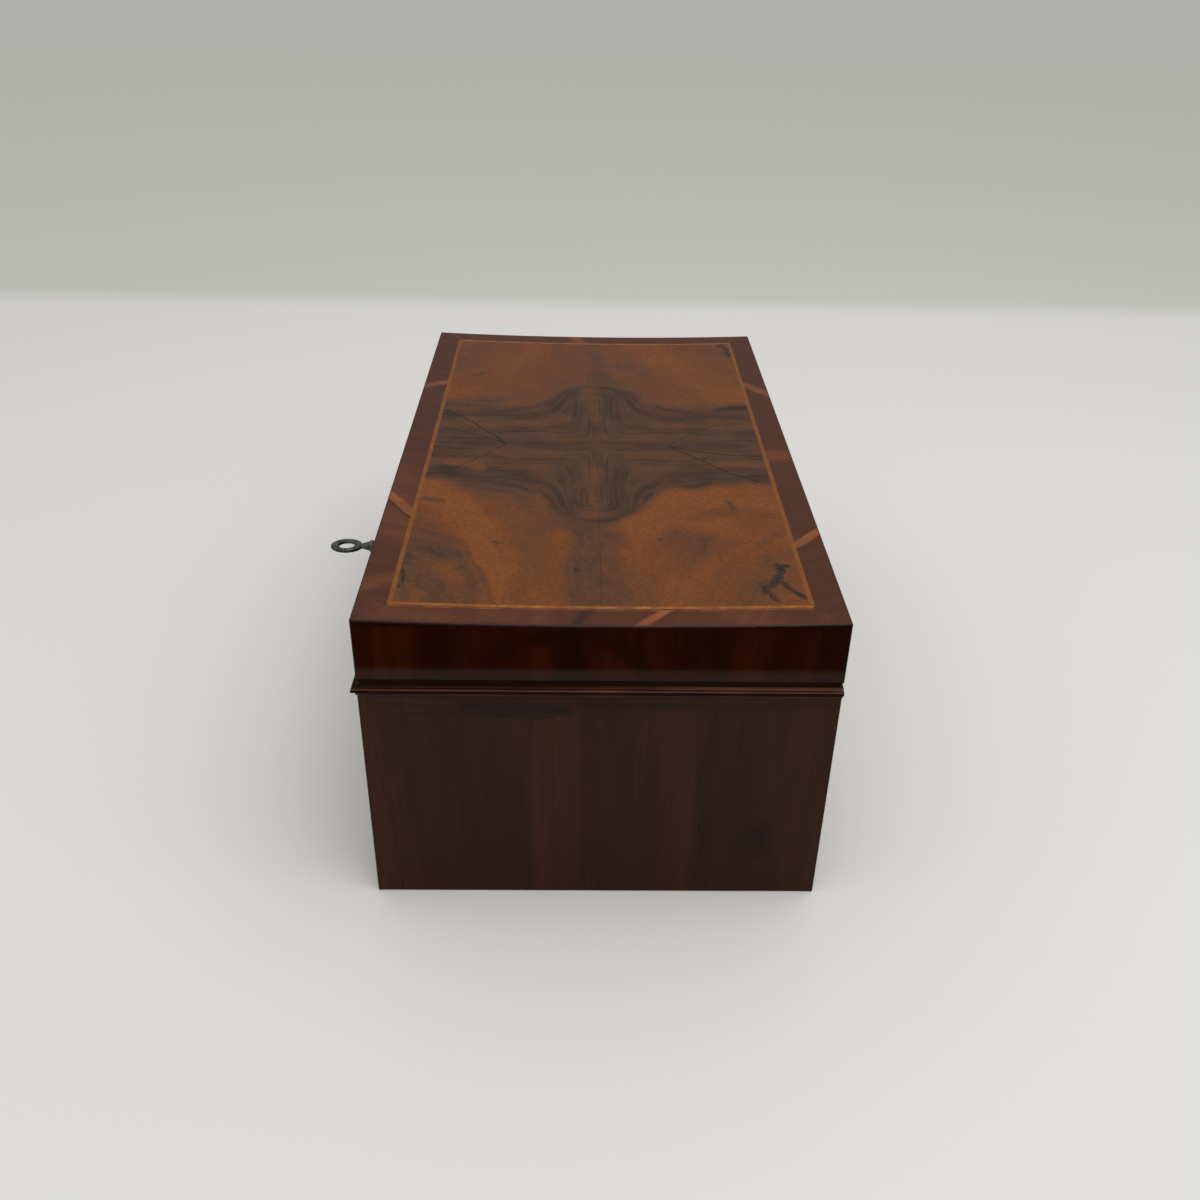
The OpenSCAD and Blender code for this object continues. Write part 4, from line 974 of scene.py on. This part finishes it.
def roundPower(turn, power):
    # Cosine and sine of a full turn with their size raised to a power: below 1 it squares a circle off
    angle = np.linspace(0, 2 * math.pi, turn + 1)[:-1][None, :]
    c, s = np.cos(angle), np.sin(angle)
    return np.sign(c) * np.abs(c) ** power, np.sign(s) * np.abs(s) ** power


def keyPiece(name, x, y, z, closed, *replaced):
    points, faces = loftShell(np.stack([x, y, z], -1), closed)
    dress(finishMesh(name, points, faces), "key", "key_steel", keySteel, *replaced)


def keyBow():
    # A flat ring: at each angle round the eye, a squared-off round section between the inner and outer ellipse
    around = np.linspace(0, 2 * math.pi, 121)[:-1][:, None]
    across, lift = roundPower(28, 0.72)
    share = (across + 1) / 2
    y = np.sin(around) * (key["bowIn"][0] + share * (key["bowOut"][0] - key["bowIn"][0]))
    x = np.cos(around) * (key["bowIn"][1] + share * (key["bowOut"][1] - key["bowIn"][1]))
    z = key["height"] + key["bowHalf"] * lift + 0 * around
    keyPiece("keyBow", x, y + key["bowMid"], z, True, "key")


def keyShank():
    # A turned stem with its collar: a radius at each distance out from the box, carried round its axis
    turn = np.linspace(0, 2 * math.pi, 49)[:-1][:, None]
    out, radius = np.array(key["stem"]).T[:, None, :]
    flat = np.clip((key["neckFrom"] - out) / key["neckLength"], 0, 1)  # the neck widens sideways into the bow
    x = radius * np.cos(turn) * (1 + key["neckSpread"] * flat)
    z = key["height"] + radius * np.sin(turn)
    keyPiece("keyShank", x, -casket["halfY"] + out + 0 * turn, z, True)


def keyBit():
    # A plate on the stem's inner end with its edges eased, and one ward cut near its front
    depth, share, reach = np.array(key["bit"]).T[:, :, None]
    px, pz = roundPower(32, 0.25)
    x = -reach / 2 + px * reach / 2
    z = key["height"] + pz * key["bitHalf"] * share
    keyPiece("keyBit", x, depth + 0 * x, z, False)


keyBow()
keyShank()
keyBit()
print("key made")


finishes = {  # of the solids that stay
    "carcass": agedPine, "lid_veneer": lidBackWalnut, "brass": agedBrass, "steel": dullSteel,
    "key_steel": keySteel,
}
endBoards = ("left_board", "right_board", "lid_left_rail", "lid_right_rail")
for entry in frame["record"]["subparts"]:
    if entry["material_slot"] in finishes:
        finish = agedPineEnd if entry["node"] in endBoards else finishes[entry["material_slot"]]
        solid = nodes[entry["node"]]
        solid.data.materials.clear()
        solid.data.materials.append(finish)
print("solids finished")


studio = {
    "floor": (0.685, 0.675, 0.66), "farFloor": (0.56, 0.555, 0.53), "farFrom": -720.0, "farSoft": 35.0,
    "horizon": (0.47, 0.475, 0.46), "zenith": (1.02, 1.02, 1.0), "horizonEnds": (0.15, 0.95),
    "backdrop": (0.485, 0.48, 0.455), "worldStrength": 0.9, "rough": 0.8, "specular": 0.1,
    "floorHalf": 3000.0, "floorHeight": -0.05,
    "lampPower": 9.0, "lampSize": 1.2, "lampPlace": (0.42, 0.30, 1.35), "lampAim": (0, 0, 0.05),
    # a dark room beyond the box's near end, seen in the polish alone
    "dark": (0.004, 0.004, 0.004), "darkHeight": 0.6,
    "darkEnds": (352.0, 2900.0), "darkWide": (-2500.0, 2500.0),
}


def flatCard(name, xEnds, yEnds, height, colour, farColour):
    # A level sheet, pale near the box and a little deeper far behind it
    x, y = np.meshgrid(np.linspace(*xEnds, 3), np.linspace(*yEnds, 3), indexing="ij")
    points = np.stack([x, y, np.full(x.shape, height)], -1).reshape(-1, 3)
    card = finishMesh(name, points, gridFaces(3, 3).tolist())
    if card.data.polygons[0].normal.z < 0:
        card.data.flip_normals()
    material, s, shader = newMaterial(name + "Colour")
    alongX = s.place()[1]
    far = s.between(alongX, studio["farFrom"] + studio["farSoft"], studio["farFrom"] - studio["farSoft"])
    s.feed(shader["Base Color"], s.mix(far, colour, farColour))
    shader["Roughness"].default_value = studio["rough"]
    shader["Specular IOR Level"].default_value = studio["specular"]
    card.data.materials.append(material)
    return card


floorEnds = (-studio["floorHalf"], studio["floorHalf"])
flatCard("floor", floorEnds, floorEnds, studio["floorHeight"], studio["floor"], studio["farFloor"])
darkRoom = flatCard("darkRoom", studio["darkEnds"], studio["darkWide"], studio["darkHeight"],
                    studio["dark"], studio["dark"])
for ray in ("camera", "diffuse", "shadow", "transmission"):
    setattr(darkRoom, "visible_" + ray, False)

lampData = bpy.data.lights.new("softLamp", "AREA")
lampData.energy = studio["lampPower"]
lampData.size = studio["lampSize"]
lamp = bpy.data.objects.new("softLamp", lampData)
lamp.location = studio["lampPlace"]
lamp.rotation_euler = (Vector(studio["lampAim"]) - lamp.location).to_track_quat("-Z", "Y").to_euler()
bpy.context.scene.collection.objects.link(lamp)

world = bpy.data.worlds.new("softRoom")
bpy.context.scene.world = world
world.use_nodes = True
room = NodeSketch(world.node_tree)
direction = room.add("ShaderNodeTexCoord", {}).outputs["Generated"]
upward = room.add("ShaderNodeSeparateXYZ", {0: direction}).outputs[2]
shade = room.mix(room.between(upward, *studio["horizonEnds"]), studio["horizon"], studio["zenith"])
seen = room.add("ShaderNodeLightPath", {}).outputs["Is Camera Ray"]
background = world.node_tree.nodes["Background"]
room.feed(background.inputs["Color"], room.mix(seen, shade, studio["backdrop"]))
background.inputs["Strength"].default_value = studio["worldStrength"]

# The camera stands off the near end, as it was worked out from the box's edges
view = {"place": (0.56406, -0.0099, 0.39411), "pitch": 31.3395, "yaw": 1.3059, "roll": 1.1775, "lens": 34.964}
pitch, yaw, roll = (math.radians(view[k]) for k in ("pitch", "yaw", "roll"))
forward = Vector((-math.cos(yaw) * math.cos(pitch), math.sin(yaw) * math.cos(pitch), -math.sin(pitch)))
level = Vector((math.sin(yaw), math.cos(yaw), 0.0))
upright = level.cross(forward)
right = math.cos(roll) * level + math.sin(roll) * upright
up = math.cos(roll) * upright - math.sin(roll) * level
turned = Matrix((right, up, -forward)).transposed().to_4x4()
cameraData = bpy.data.cameras.new("camera")
cameraData.lens = view["lens"]
cameraData.sensor_width = 36.0
camera = bpy.data.objects.new("camera", cameraData)
camera.matrix_world = Matrix.Translation(Vector(view["place"])) @ turned
bpy.context.scene.collection.objects.link(camera)
bpy.context.scene.camera = camera
bpy.context.scene.view_settings.view_transform = "Standard"
print("studio set")
